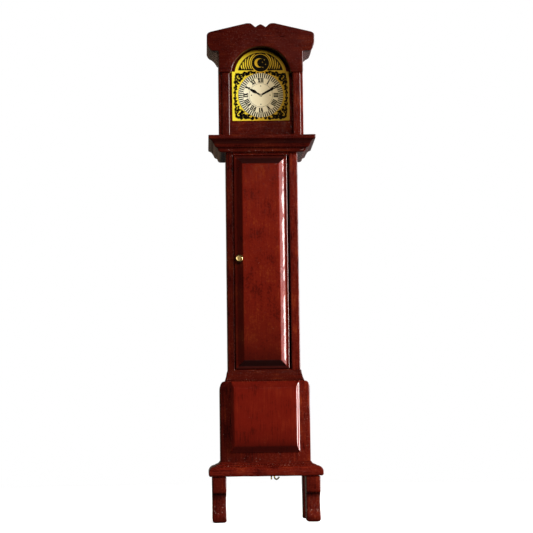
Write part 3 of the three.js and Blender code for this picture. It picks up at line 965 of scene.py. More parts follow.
# A profile carried round the left side, the front and the right side of a stage. At each place on the
# path a point is base + out * direction, so that the corners are mitred and then rounded.
def mouldingRun(profile, half, front, back, bottom, look, lump, seed):
    corner, cell = look["corner"], look["cell"]
    alongSide = np.linspace(0, 1, int((back - front) / cell))[:, None]
    alongFront = np.linspace(-1, 1, int(2 * half / cell))[1:-1, None]
    turn = np.linspace(0, np.pi / 2, 6)[1:-1, None]
    sideBase = np.hstack([0 * alongSide + half, back + alongSide * (front + corner - back)])
    sideOut = np.hstack([0 * alongSide + 1, -alongSide])
    cornerX = half - corner + corner * np.cos(turn)
    cornerY = front + corner - corner * np.sin(turn)
    cornerBase = np.hstack([cornerX, cornerY])
    cornerOut = np.hstack([0 * turn + 1, 0 * turn - 1])
    frontBase = np.hstack([alongFront * (half - corner), 0 * alongFront + front])
    frontOut = np.hstack([alongFront, 0 * alongFront - 1])
    edgeX = np.array([[half - corner, front]])
    edgeOut = np.array([[1, -1]])
    left = np.array([-1, 1])
    base = np.vstack([sideBase * left, cornerBase * left, edgeX * left, frontBase, edgeX,
                      cornerBase[::-1], sideBase[::-1]])
    out = np.vstack([sideOut * left, cornerOut * left, edgeOut * left, frontOut, edgeOut,
                     cornerOut[::-1], sideOut[::-1]])
    outline = softened(profile, look["soft"])
    flat = base[:, None] + outline[None, :, 0, None] * out[:, None]
    level = np.broadcast_to(bottom + outline[None, :, 1], flat.shape[:2])
    points = np.dstack([flat, level])
    free = progress(outline[:, 0], 0, 0.5)[None, :]
    inset = lump * (1 + lumps(points, 3.0, seed)) / 2
    direction = outwards(outline)
    points[..., :2] -= (inset * free * direction[None, :, 0])[..., None] * out[:, None]
    points[..., 2] -= inset * free * direction[None, :, 1]
    return points.reshape(-1, 3), tubeFaces(len(base), len(outline))


# A moulding's wall lies inside its box by as far as its profile stands out.
def addMoulding(name, look, seed):
    low, high = nodeBox(f"{name}_front")
    parts = [f"{name}_front", f"{name}_left", f"{name}_right"]
    profile = trace([0, 0], look[name]["profile"])
    widest = profile[:, 0].max()
    half, front = high[0] - widest, low[1] + widest
    back = nodeBox(f"{name}_left")[1][1]
    shape = mouldingRun(profile, half, front, back, low[2], look, look[name]["lump"], seed)

    # faces beyond the mitre belong to the side runs, whose grain goes front to back
    def sideRuns(centres):
        beyond = np.abs(centres[:, 0]) - half > front - centres[:, 1]
        return beyond.astype(np.int32)

    rise = shape[0][:, 2] - low[2]
    marks = {mark: np.interp(rise, *np.array(look[name][mark]).T) for mark in ("stain", "dusty")}
    addCasePiece(name, shape, [caseAcross, caseDeep], parts, chooser=sideRuns, sharp=50, **marks)


for seed, name in enumerate(("plinth_moulding", "cove_moulding", "cornice"), 61):
    addMoulding(name, mouldings, seed)
print("mouldings are made")

# Raised panels


# A step from 0 to 1 whose two corners are rounded: half the difference of two hyperbolas.
def easedStep(value, softness):
    return (np.sqrt(value ** 2 + softness ** 2) - np.sqrt((value - 1) ** 2 + softness ** 2) + 1) / 2


# The smaller of two distances, eased where they are alike.
def easedLeast(first, second, softness):
    blend = np.clip(0.5 + (second - first) / (2 * softness), 0, 1)
    return second + (first - second) * blend - softness * blend * (1 - blend)


# Grid lines that crowd together near both edges, where a panel's shape is.
def crowdedLines(low, high, zone, fine=0.1, coarse=0.55):
    edge = np.arange(0, zone, fine)
    middle = np.linspace(low + zone, high - zone, max(2, int((high - low - 2 * zone) / coarse)))
    return np.unique(np.round(np.concatenate([low + edge, middle, high - edge]), 6))


# A panel whose front is a height over its back: surface gives the front's y from the points, the
# distance to the nearest edge and how far up the bevel a point is, from 0 at its foot to 1 at its
# top. Points behind the front keep their share of the depth.
def reliefPanel(low, high, surface, look):
    lines = [
        crowdedLines(low[0], high[0], look["zone"]),
        np.array([low[1], (low[1] + high[1]) / 2, high[1]]),
        crowdedLines(low[2], high[2], look["zone"]),
    ]
    points, faces = boxSkin(lines)
    x, z = points[:, 0], points[:, 2]
    across = np.minimum(x - low[0], high[0] - x)
    upward = np.minimum(z - low[2], high[2] - z)
    distance = np.minimum(across, upward)
    sideBevel, endBevel = look["bevel"]
    sideShare = (across - look["margin"]) / sideBevel
    endShare = (upward - look["margin"]) / endBevel
    climb = easedLeast(sideShare, endShare, look["mitre"])
    frontLevel = surface(points, distance, climb)
    depthShare = (points[:, 1] - low[1]) / (high[1] - low[1])
    points[:, 1] = frontLevel + depthShare * (high[1] - frontLevel)
    return (points, faces), bevelStainAndShade(points, low, high, sideShare, endShare, look["stain"])


# How dark each bevel and margin is, and the field, which is darker near its foot and its top.
# The left bevels are darker than the right ones, as painted shade on the side away from the light,
# and the bevels and margins at the ends are darker still.
def bevelStainAndShade(points, low, high, sideShare, endShare, strength):
    onEnd = endShare < sideShare
    climb = np.minimum(sideShare, endShare)
    rise = (points[:, 2] - low[2]) / (high[2] - low[2])
    righthand = points[:, 0] > (low[0] + high[0]) / 2
    ends = np.where(rise > 0.5, strength["top"], strength["bottom"])
    sides = np.where(righthand, strength["right"], strength["left"])
    bevel = np.where(onEnd, ends, sides)
    margin = np.where(righthand & ~onEnd, strength["rightMargin"], bevel * strength["margin"])
    field = np.interp(rise, *np.array(strength["field"]).T)
    inside = progress(climb, 0.92, 1.08)
    outside = progress(climb, 0, -0.1)
    return field * inside + margin * outside + bevel * (1 - inside - outside)


# bevel is its width at the sides and at the ends, and hingeSide is in from the right edge
doorShape = {
    "margin": 1.1,
    "bevel": (2.0, 2.0),
    "zone": 3.4,
    "hollow": 0.28,
    "mitre": 0.06,
    "edgeLevel": -7.9,
    "edge": 0.35,
    "softness": 0.09,
    "lump": 0.022,
    "lumpSize": 4.4,
    "fineLump": 0.022,
    "fineLumpSize": 1.9,
    "hingeSide": (3.4, 2.4),
    # painted shade on the left bevel, away from the light; the ends are near black
    "stain": {
        "top": 0.97, "bottom": 1.0, "left": 0.74, "right": 0.15, "margin": 0.88, "rightMargin": 0.62,
        "field": [(0.04, 0.78), (0.12, 0.55), (0.3, 0.36), (0.7, 0.26), (0.9, 0.32), (0.97, 0.45)],
    },
}


# The bevel is a little hollow: share + hollow * share * (1 - share), with both of its corners eased.
# The lacquer is more uneven towards the hinge side.
def addDoor(look):
    low, high = nodeBox("trunk_door")
    rise = look["edgeLevel"] - low[1]

    def surface(points, distance, climb):
        share = easedStep(climb, look["softness"])
        level = look["edgeLevel"] - rise * (share + look["hollow"] * share * (1 - share))
        hingeSide = progress(high[0] - points[:, 0], *look["hingeSide"])
        uneven = look["lump"] * (1 + lumps(points, look["lumpSize"], 71)) * (1 + hingeSide)
        uneven += look["fineLump"] * (1 + lumps(points, look["fineLumpSize"], 72)) * hingeSide
        return level + quarterEdge(distance, look["edge"]) + uneven

    shape, stain = reliefPanel(low, high, surface, look)
    addPiece("trunk_door_lacquered", shape, doorUpright, "trunk_door", ["trunk_door"],
             "panel_mahogany", stain=stain)


addDoor(doorShape)

basePanelShape = {
    "margin": 0.05,
    "bevel": (0.85, 2.1),
    "zone": 2.6,
    "mitre": 0.25,
    "square": 0.35,
    "softness": 0.30,
    "lump": 0.02,
    "lumpSize": 4.0,
    "fineLump": 0.03,
    "fineLumpSize": 1.3,
    "edgeSide": (1.4, 0.9),
    # painted shade on the left bevel, away from the light, and along the foot
    "stain": {
        "top": 0.45, "bottom": 0.85, "left": 0.42, "right": 0.1, "margin": 1.0, "rightMargin": 0.3,
        "field": [(0.04, 0.80), (0.18, 0.48), (0.4, 0.3), (0.85, 0.28), (0.96, 0.42)],
    },
}


# The base panel stands on a square edge and climbs to its field by one eased step. Its lacquer is
# more uneven towards the right edge.
def addBasePanel(look):
    low, high = nodeBox("base_panel")
    depth = high[1] - low[1] - look["square"]

    def surface(points, distance, climb):
        share = easedStep(climb, look["softness"])
        edgeSide = progress(high[0] - points[:, 0], *look["edgeSide"])
        uneven = look["lump"] * (1 + lumps(points, look["lumpSize"], 75)) * share
        uneven += look["fineLump"] * (1 + lumps(points, look["fineLumpSize"], 76)) * edgeSide * share
        return high[1] - look["square"] - depth * share + uneven

    shape, stain = reliefPanel(low, high, surface, look)
    addPiece("base_panel_lacquered", shape, panelUpright, "case", ["base_panel"],
             "panel_mahogany", stain=stain)


addBasePanel(basePanelShape)
print("door and base panel are made")

# Hood

hoodShape = {
    "stain": 0.66,
    "soffitShade": 0.9,
    "edge": 0.30,
    "backEdge": 0.12,
    "soft": 0.7,
    "lump": 0.02,
    "archLevel": 161.78,
    "archRadius": 10.92,
    "springLevel": 163,
    "crown": [(0.5, 0.3), (1.2, 1.9, 2.2, 2.5), (2.5, 2.8), (3.9, 3.3, 4.1, 4.4), (4.3, 4.6),
              (4.3, 6), (0, 6)],
    "crownSoft": 0.2,
    "crownEdges": (0.05, 0.25),
    "crownLump": 0.01,
}


# Points on a circle about x = 0 and a level, from one angle to another.
def arcPoints(level, radius, start, end, steps):
    angle = np.linspace(start, end, steps)
    return np.stack([radius * np.cos(angle), level + radius * np.sin(angle)], axis=1)


# The front board: a notched crest, sloping shoulders, turned-down ears and a round arch.
def addHoodFront(look):
    low, high = nodeBox("hood_front")
    top, ear = high[2], high[0]
    wall = nodeBox("hood_side_right")[1][0]
    half = trace([0, top - 0.4], [
        (0.7, top - 0.5, 1.9, top - 1.5),
        (3.5, top),
        (5.2, top),
        (ear - 1.45, top - 3.1),
        (ear, top - 3.5, ear, top - 4.7),
        (ear, top - 7.1),
        (ear - 0.45, top - 9.3, ear - 1.75, top - 10.3),
        (wall, top - 10.3),
        (wall, look["springLevel"]),
    ])
    start = math.asin((look["springLevel"] - look["archLevel"]) / look["archRadius"])
    arch = arcPoints(look["archLevel"], look["archRadius"], start, math.pi / 2, 17)
    arch[-1, 0] = 0
    outline = softened(mirrored(np.vstack([half, arch])), look["soft"])
    shape = board(outline, low[1], high[1], look["edge"], look["backEdge"], (0, 2, 1), look["lump"], 81)
    points = shape[0]
    # painted shade: the arch's soffit, deep in the recess, is near black
    fromArch = np.hypot(points[:, 0], points[:, 2] - look["archLevel"]) - look["archRadius"]
    soffit = (fromArch < 0.15) & (points[:, 1] > low[1] + look["edge"] * 0.8)
    stain = np.where(soffit, look["soffitShade"], look["stain"])
    addCasePiece("hood_front", shape, caseAcross, stain=stain)


# The crown's profile goes (out, up) from the hood's side and is carried from front to back.
def addCrown(look):
    for sign, side in ((-1, "left"), (1, "right")):
        low, high = nodeBox(f"crown_moulding_{side}")
        wall = low[0] if sign > 0 else -high[0]
        profile = softened(trace([0, 0], look["crown"]), look["crownSoft"])
        placed = np.stack([sign * (wall + profile[:, 0]), low[2] + profile[:, 1]], axis=1)
        shape = board(placed, low[1], high[1], *look["crownEdges"], (0, 2, 1), look["crownLump"], 83)
        addCasePiece(f"crown_moulding_{side}", shape, caseDeep, stain=look["stain"])


addHoodFront(hoodShape)
addCrown(hoodShape)
print("hood is made")

# Dial: a printed foil sheet, a paper chapter ring and flat ink

# paper, ink and petal are how far each stands in front of the foil, and bed is where their backs are
dialShape = {
    "centre": 155.45,
    "chapter": 8.25,
    "inner": 4.35,
    "track": (6.6, 8.15),
    "tick": (0.36, 0.48),
    "quarterMark": (3.25, 3.6),
    "line": 0.08,
    "numerals": (4.75, 6.35),
    "bar": 0.10,
    "archLevel": 162.96,
    "archRadius": 9.61,
    "shoulder": 164.3,
    "roundelLevel": 167.45,
    "roundel": 3.2,
    "archBorder": 1.15,
    "archFoot": 164.75,
    "bed": 0.005,
    "paper": 0.03,
    "ink": 0.055,
    "over": 0.002,
    "petal": 0.07,
}
dialFront = nodeBox("dial_plate")[0][1]


# A flat line of ink: a path in (x, z) with a width at each point, as a thin closed strip.
def ribbon(path, widths, lift):
    path = np.array(path, float)
    widths = np.broadcast_to(np.array(widths, float), (len(path),))[:, None]
    tangent = unit(np.gradient(path, axis=0))
    side = np.stack([-tangent[:, 1], tangent[:, 0]], axis=1) * widths / 2
    levels = (dialFront - dialShape["bed"], dialFront - lift)
    rails = [path + side, path - side]
    points = np.zeros((len(path), 4, 3))
    for corner, (rail, level) in enumerate(((0, 0), (0, 1), (1, 1), (1, 0))):
        points[:, corner, 0] = rails[rail][:, 0]
        points[:, corner, 1] = levels[level]
        points[:, corner, 2] = rails[rail][:, 1]
    return points.reshape(-1, 3), tubeFaces(len(path), 4)


# A flat patch of ink inside an outline in (x, z).
def patch(outline, lift, bed=dialShape["bed"], edge=0.01):
    return board(outline, dialFront - lift, dialFront - bed, edge, 0.0, (0, 2, 1))


# A round patch of ink about x = 0 and a level.
def discPatch(level, radius, lift, steps=48):
    return patch(arcPoints(level, radius, 0, 2 * np.pi, steps + 1)[:-1], lift)


# From clock position (0 to 12) and radius to (x, z), with an offset across.
def dialPoint(hour, radius, across=0.0):
    angle = np.asarray(hour) * np.pi / 6
    x = radius * np.sin(angle) + across * np.cos(angle)
    z = dialShape["centre"] + radius * np.cos(angle) - across * np.sin(angle)
    return np.stack([x, z], axis=-1)


# Each stroke goes from (x, share of the height) to (x, share), with a width.
glyphs = {
    "I": {"width": 0.58, "strokes": [(0, 0, 0, 1, 0.42)]},
    "V": {"width": 1.04, "strokes": [(-0.32, 1, 0.02, 0, 0.46), (0.34, 1, 0.06, 0, 0.26)]},
    "X": {"width": 1.04, "strokes": [(-0.32, 1, 0.32, 0, 0.46), (0.34, 1, -0.32, 0, 0.26)]},
}
hours = ["XII", "I", "II", "III", "IIII", "V", "VI", "VII", "VIII", "IX", "X", "XI"]


# Each hour's letters stand with their feet to the centre, between two thin bars.
def numeralStrips(look):
    inner, outer = look["numerals"]
    strips = []
    for hour, letters in enumerate(hours):
        total = sum(glyphs[letter]["width"] for letter in letters)
        place = -total / 2
        for letter in letters:
            glyph = glyphs[letter]
            middle = place + glyph["width"] / 2
            for x0, share0, x1, share1, width in glyph["strokes"]:
                start = dialPoint(hour, inner + share0 * (outer - inner), middle + x0)
                end = dialPoint(hour, inner + share1 * (outer - inner), middle + x1)
                strips.append(ribbon([start, end], width, look["ink"]))
            place += glyph["width"]
        for level in (inner, outer):
            ends = [dialPoint(hour, level, -total / 2), dialPoint(hour, level, total / 2)]
            strips.append(ribbon(ends, look["bar"], look["ink"] + look["over"]))
    return strips


# A ring of ink about the hands' centre, or about another level.
def circleStrip(radius, width, lift, level=None):
    path = dialPoint(np.linspace(0, 12, 96), radius)
    if level is not None:
        path = path + [0, level - dialShape["centre"]]
    return ribbon(path, width, lift)


# Sixty minute marks between two rings, a ring inside the numerals and four quarter marks.
def trackStrips(look):
    inner, outer = look["track"]
    over = look["ink"] + look["over"]
    strips = [
        ribbon([dialPoint(minute / 5, inner), dialPoint(minute / 5, outer)], look["tick"], look["ink"])
        for minute in range(60)
    ]
    strips.append(circleStrip(look["chapter"], look["line"], over))
    strips.append(circleStrip(inner - 0.12, 0.07, over))
    strips.append(circleStrip(look["inner"], look["line"], look["ink"]))
    for quarter in (0, 3, 6, 9):
        ends = [dialPoint(quarter, reach) for reach in look["quarterMark"]]
        strips.append(ribbon(ends, look["tick"][0], look["ink"]))
    return strips


# "at" is the clock position that a hand points to, and "reach" the radius of each width.
hands = {
    "hour": {"at": 10, "reach": (0.5, 1.7, 2.2, 2.9, 3.5, 3.9, 4.2, 4.7),
             "widths": (0.60, 0.55, 0.95, 1.30, 0.80, 1.0, 0.6, 0.14)},
    "minute": {"at": 2.04, "reach": (0.5, 2.5, 4.2, 4.7, 5.2),
               "widths": (0.66, 0.80, 0.85, 1.10, 0.60)},
    "tip": {"at": 2.04, "reach": (6.6, 7.0, 7.85), "widths": (0.45, 0.6, 0.16)},
}
handTrim = {
    "lift": 0.02,
    "loopReach": 5.9,
    "loopSize": (0.72, 0.30),
    "loopLine": 0.22,
    "petals": 12,
    "petalReach": (0.15, 0.42, 0.7),
    "petalWidths": (0.02, 0.16, 0.02),
}


# The hands, an oval loop between the minute hand and its tip, and a ring of petals at the centre.
def handStrips(look, trim):
    lift = look["ink"] + trim["lift"]
    strips = []
    for hand in hands.values():
        path = np.vstack([dialPoint(hand["at"], reach) for reach in hand["reach"]])
        strips.append(ribbon(path, hand["widths"], lift))
    around = np.linspace(0, 2 * np.pi, 25)
    length, width = trim["loopSize"]
    reach = trim["loopReach"] + length * np.cos(around)
    loop = dialPoint(hands["minute"]["at"], reach, width * np.sin(around))
    strips.append(ribbon(loop, trim["loopLine"], lift))
    for petal in range(trim["petals"]):
        path = [dialPoint(petal, reach) for reach in trim["petalReach"]]
        strips.append(ribbon(path, trim["petalWidths"], lift))
    return strips


# A curl of ink: a spiral that closes in on its centre and thins towards its tail.
def curl(x, z, size, turns, start, hand, width):
    t = np.linspace(0, 1, 22)
    radius = size * (0.16 + 0.84 * t)
    angle = start + hand * turns * 2 * np.pi * t
    path = np.stack([x + radius * np.cos(angle), z + radius * np.sin(angle)], axis=1)
    return path, width * (0.7 + 1.8 * np.sin(np.pi * np.clip(t, 0.08, 0.97)))


# A leaf: a short bent line that is widest in its middle.
def leaf(x, z, length, direction, bend, width):
    t = np.linspace(0, 1, 8)
    angle = direction + bend * (t - 0.5)
    step = length * (t - 0.5)
    path = np.stack([x + step * np.cos(angle), z + step * np.sin(angle)], axis=1)
    return path, 1.4 * width * np.sin(np.pi * np.clip(t, 0.06, 0.94))


spandrels = {
    # x, z, size, turns, start, hand, width
    "curls": [
        (7.7, 148.0, 1.25, 1.15, 0.5, 1, 0.42), (8.6, 150.3, 0.85, 1.1, 2.4, -1, 0.36),
        (5.3, 147.6, 0.95, 1.1, 2.9, -1, 0.36), (3.1, 147.0, 0.62, 1.0, 0.2, 1, 0.32),
        (8.9, 152.3, 0.55, 1.0, 1.4, 1, 0.3), (7.9, 162.6, 1.1, 1.15, 5.5, -1, 0.40),
        (8.8, 160.2, 0.72, 1.1, 3.6, 1, 0.34), (5.6, 163.3, 0.85, 1.1, 3.4, 1, 0.34),
        (8.95, 158.2, 0.5, 1.0, 5.0, -1, 0.3), (3.4, 163.9, 0.55, 1.0, 5.8, -1, 0.3),
        (6.75, 162.0, 0.55, 1.0, 2.2, 1, 0.3), (6.9, 148.6, 0.5, 1.0, 4.4, -1, 0.3),
        (9.15, 154.5, 0.45, 1.0, 2.0, -1, 0.3), (9.15, 156.3, 0.45, 1.0, 4.0, 1, 0.3),
        (6.9, 146.9, 0.42, 1.0, 1.0, 1, 0.26), (4.4, 163.4, 0.5, 1.0, 4.2, 1, 0.28),
        (1.6, 147.0, 0.42, 1.0, 2.6, -1, 0.26), (2.2, 163.9, 0.4, 1.0, 1.2, 1, 0.26),
    ],
    # x, z, length, direction, bend, width
    "leaves": [
        (6.5, 149.3, 1.9, 0.6, 1.4, 0.62), (8.8, 147.6, 1.1, 1.4, 0.8, 0.5),
        (4.2, 148.0, 1.2, 0.2, -1.2, 0.5), (6.6, 147.0, 1.3, 0.0, 0.9, 0.45),
        (1.7, 146.95, 1.2, 0.2, 1.0, 0.42), (9.0, 149.0, 1.1, 1.5, -0.8, 0.42),
        (8.9, 151.4, 1.0, 1.5, 0.9, 0.42), (9.1, 153.6, 1.3, 1.55, -0.7, 0.4),
        (9.1, 155.4, 1.4, 1.6, 0.8, 0.42), (9.1, 157.0, 1.2, 1.5, -0.8, 0.4),
        (8.9, 159.2, 1.0, 1.6, 0.9, 0.42), (7.0, 161.3, 1.5, 2.3, 1.3, 0.55),
        (9.0, 161.5, 1.0, 1.5, -0.9, 0.45), (6.7, 163.2, 1.0, 0.2, 1.0, 0.5),
        (4.6, 163.2, 1.2, 3.0, 1.1, 0.5), (8.6, 163.4, 0.9, 0.8, 0.9, 0.42),
        (2.2, 164.0, 1.5, 3.0, -0.7, 0.45), (0.9, 163.95, 0.9, 2.6, 0.6, 0.36),
    ],
    "spread": 1.04,
    # rows of small leaves round the chapter ring: radius, stagger and length
    "ringLeaves": 52,
    "ringRows": [(9.35, 0.25, 1.25), (10.35, 0, 1.0)],
    "ringTilt": 0.8,
    "ringBend": 1.1,
    "ringWidth": 0.55,
    "halfWidth": 9.3,
    "levels": (146.6, 164.2),
    # x, z and width
    "bud": [(0, 146.7, 0.2), (0, 147.1, 0.7), (0, 147.6, 0.1)],
}


# The curls and leaves of one side and their mirror images, then small leaves round the chapter ring
# where they fall in a corner, and a bud at the foot.
def spandrelStrips(look, marks):
    strips = []
    for mirror in (-1, 1):
        for kind, maker in (("curls", curl), ("leaves", leaf)):
            for values in marks[kind]:
                path, widths = maker(*values)
                strips.append(ribbon(path * [mirror * marks["spread"], 1], widths, look["ink"]))
    lowest, highest = marks["levels"]
    for step in range(marks["ringLeaves"]):
        around = 2 * math.pi * step / marks["ringLeaves"]
        tilt = marks["ringTilt"] * (1 if step % 2 else -1)
        for radius, stagger, length in marks["ringRows"]:
            reach = radius + stagger * (step % 2)
            x, z = reach * math.cos(around), look["centre"] + reach * math.sin(around)
            if abs(x) < marks["halfWidth"] and lowest < z < highest:
                path, widths = leaf(x, z, length, around + math.pi / 2 + tilt,
                                    marks["ringBend"], marks["ringWidth"])
                strips.append(ribbon(path, widths, look["ink"]))
    bud = np.array(marks["bud"])
    strips.append(ribbon(bud[:, :2], bud[:, 2], look["ink"]))
    return strips


# The arch: a dark field with a plain border, and foil petals that bend round each side of a roundel.
def archField(look):
    radius = look["archRadius"] - look["archBorder"]
    start = math.asin((look["archFoot"] - look["archLevel"]) / radius)
    return patch(arcPoints(look["archLevel"], radius, start, math.pi - start, 60), look["ink"])


petals = {
    "count": 7,
    "first": 0.74,
    "pitch": 0.80,
    "bend": (-0.95, 1.3),
    "thin": 0.10,
    "swell": 0.32,
    "rimGap": 0.28,
    "footGap": 0.3,
}


# A petal is the part of a circle about the roundel that lies inside the arch. Its width is thin at
# its ends, plus swell * sin(pi * t)^0.6 between them.
def petalStrips(look, row):
    strips = []
    level, centre = look["roundelLevel"], look["archLevel"]
    within = look["archRadius"] - look["archBorder"] - row["rimGap"]
    angle = np.linspace(*row["bend"], 40)
    for mirror in (-1, 1):
        for petal in range(row["count"]):
            reach = look["roundel"] + row["first"] + row["pitch"] * petal
            x = reach * np.cos(angle)
            z = level + reach * np.sin(angle)
            inside = (np.hypot(x, z - centre) < within) & (z > look["archFoot"] + row["footGap"])
            path = np.stack([mirror * x, z], axis=1)[inside]
            if len(path) > 4:
                t = np.linspace(0, 1, len(path))
                widths = row["thin"] + row["swell"] * np.sin(np.pi * t) ** 0.6
                strips.append(ribbon(path, widths, look["petal"]))
    return strips


# The moon's horns are in half turns, and its hollow is an oval moved to the right of its middle.
moon = {
    "radius": 1.75,
    "horns": (0.35, 1.65),
    "hollow": (1.38, 1.52),
    "hollowShift": 0.62,
    "shift": (-0.45, 0.1),
    "lift": 0.085,
    "bed": 0.01,
    "rimGap": 0.14,
    "rimWidth": 0.24,
    # x, z and reach from the roundel's middle
    "stars": [(1.5, 1.2, 0.34), (1.9, -0.5, 0.26), (0.9, -1.6, 0.3), (0.75, 0.35, 0.24)],
    "starWidths": (0.02, 0.16, 0.02),
}


# A crescent between a circle and an oval, small four-pointed stars and the roundel's rim.
def moonShapes(look, crescent):
    level, size = look["roundelLevel"], crescent["radius"]
    outer = np.linspace(crescent["horns"][0] * np.pi, crescent["horns"][1] * np.pi, 30)
    inner = outer[::-1]
    wide, tall = crescent["hollow"]
    hollow = np.stack([crescent["hollowShift"] + wide * np.cos(inner), tall * np.sin(inner)], axis=1)
    rim = np.stack([size * np.cos(outer), size * np.sin(outer)], axis=1)
    outline = np.vstack([rim, hollow[1:-1]]) + crescent["shift"] + [0, level]
    shapes = [patch(outline, crescent["lift"], crescent["bed"], 0.0)]
    for x, z, reach in crescent["stars"]:
        for turn in (0, math.pi / 2):
            arm = np.array([math.cos(turn), math.sin(turn)]) * reach
            middle = np.array([x, level + z])
            path = [middle - arm, middle, middle + arm]
            shapes.append(ribbon(path, crescent["starWidths"], crescent["lift"]))
    rimRadius = look["roundel"] + crescent["rimGap"]
    shapes.append(circleStrip(rimRadius, crescent["rimWidth"], crescent["lift"], level))
    return shapes


def addDialPiece(name, shape, material, nodes=()):
    addPiece(name, shape, material, "case", nodes, "dial_foil")


def addDial(look):
    low, high = nodeBox("dial_plate")
    shoulder = look["shoulder"]
    start = math.asin((shoulder - look["archLevel"]) / look["archRadius"])
    arch = arcPoints(look["archLevel"], look["archRadius"], start, math.pi / 2, 24)
    arch[-1, 0] = 0
    outline = mirrored(np.vstack([[[0, low[2]], [high[0], low[2]], [high[0], shoulder]], arch]))
    sheet = board(softened(outline, 0.12, 2), low[1], high[1], 0.04, 0.0, (0, 2, 1), 0.01, 91)
    addDialPiece("dial_foil_sheet", sheet, foilMaterial, ["dial_plate"])
    paper = discPatch(look["centre"], look["chapter"], look["paper"], 96)
    addDialPiece("dial_chapter_ring", paper, chapterMaterial)
    addDialPiece("dial_figures", joined(numeralStrips(look) + trackStrips(look)), inkMaterial)
    addDialPiece("dial_printed_hands", joined(handStrips(look, handTrim)), inkMaterial)
    roundel = discPatch(look["roundelLevel"], look["roundel"], look["petal"] + 0.008)
    scrolls = joined(spandrelStrips(look, spandrels) + [archField(look), roundel])
    addDialPiece("dial_scrollwork", scrolls, inkMaterial)
    bright = joined(moonShapes(look, moon) + petalStrips(look, petals))
    addDialPiece("dial_moon_and_petals", bright, foilMaterial)


addDial(dialShape)
print("dial is made")

# Brass


# A brass piece is named after its node and how it is made, and stands in for the node.
def addBrassPiece(node, ending, shape, body, materials=brassMaterial, **more):
    addPiece(f"{node}_{ending}", shape, materials, body, [node], "brass", **more)


# The head's face is a rim and a dish: (in from the edge, behind the face) from the edge inwards.
knobShape = {
    "stem": 0.4,
    "head": 1.75,
    "face": [(0, 0.38), (0.05, 0.18), (0.16, 0.05), (0.3, 0), (0.44, 0.03), (0.54, 0.12),
             (0.62, 0.26), (0.75, 0.31)],
    "dish": 0.42,
    "dishDepth": (0.28, 0.27),
}


def addKnob(look):
    low, high = nodeBox("door_knob")
    radius = (high[0] - low[0]) / 2
    centre = [(low[0] + high[0]) / 2, 0, (low[2] + high[2]) / 2]
    face, stemEnd = low[1], high[1]
    stem = look["stem"]
    back = face + look["head"]
    profile = [(0, stemEnd), (stem - 0.02, stemEnd), (stem, stemEnd - 0.05), (stem, back)]
    profile += [(radius - 0.35, back), (radius - 0.08, back - 0.18), (radius, back - 0.5)]
    profile += [(radius - inward, face + behind) for inward, behind in look["face"]]
    profile += [(0.3, face + look["dishDepth"][0]), (0, face + look["dishDepth"][1])]

    # the dish in the middle of the head is duller than its rim
    def dish(centres):
        away = np.hypot(centres[:, 0] - centre[0], centres[:, 2] - centre[2])
        return ((away < radius - look["dish"]) & (centres[:, 1] < back)).astype(np.int32)

    addBrassPiece("door_knob", "turned", turned(profile, centre, 1), "trunk_door",
                  [brassMaterial, dullBrass], chooser=dish)


addKnob(knobShape)

chainShape = {"pitch": 0.86, "wire": 0.085, "halfWidth": 0.26, "halfLength": 0.50}


# One link is a flat oval of wire; the next one along is turned a quarter about the chain's own line.
def chainLinks(low, high, look):
    wireRadius, halfLength = look["wire"], look["halfLength"]
    x, y, _ = (low + high) / 2
    count = max(2, int(round((high[2] - low[2] - 2 * halfLength) / look["pitch"])) + 1)
    levels = np.linspace(low[2] + halfLength, high[2] - halfLength, count)
    around = np.linspace(0, 2 * np.pi, 10, endpoint=False)
    section = np.linspace(0, 2 * np.pi, 4, endpoint=False)
    flattened = np.sign(np.cos(around)) * np.abs(np.cos(around)) ** 0.7
    ovalX = (look["halfWidth"] - wireRadius) * flattened
    ovalZ = (halfLength - wireRadius) * np.sin(around)
    outward = unit(np.stack([np.cos(around) * 1.4, np.sin(around)], axis=1))
    flatX = ovalX[:, None] + wireRadius * np.cos(section) * outward[:, :1]
    flatZ = ovalZ[:, None] + wireRadius * np.cos(section) * outward[:, 1:]
    thick = np.broadcast_to(wireRadius * np.sin(section), flatX.shape)
    even = np.stack([flatX, thick, flatZ], axis=-1).reshape(-1, 3)
    odd = even[:, [1, 0, 2]] * [1, -1, 1]
    links = np.where((np.arange(count) % 2 == 0)[:, None, None], even[None], odd[None])
    links = links + np.stack([0 * levels + x, 0 * levels + y, levels], axis=1)[:, None]
    linkFaces = np.array(gridFaces(len(around), len(section), wrapColumns=True, wrapRows=True))
    faces = linkFaces[None] + (np.arange(count) * len(even))[:, None, None]
    return links.reshape(-1, 3), faces.reshape(-1, 4).tolist()


# A weight's foot and cap: (in from its side, up from its foot) and (in, down from its top).
weightShape = {
    "foot": [(0.7, 0), (0.25, 0.12), (0, 0.5), (0, 0.9), (0.12, 1.0)],
    "cap": [(0.12, 1.9), (0, 1.8), (0, 1.3), (0.25, 0.85), (0.9, 0.55)],
    "neck": [(0.7, 0.4), (0.5, 0.2), (0.4, 0)],
}


# A weight is turned about its own upright axis.
def addWeight(side, look):
    low, high = nodeBox(f"weight_{side}")
    x, y, _ = (low + high) / 2
    radius, bottom, top = (high[0] - low[0]) / 2, low[2], high[2]
    profile = [(0, bottom)]
    profile += [(radius - inward, bottom + up) for inward, up in look["foot"]]
    profile += [(radius - inward, top - down) for inward, down in look["cap"]]
    profile += [(neck, top - down) for neck, down in look["neck"]]
    profile.append((0, top))
    addBrassPiece(f"weight_{side}", "turned", turned(profile, (x, y, 0), 2, 48), f"weight_{side}")


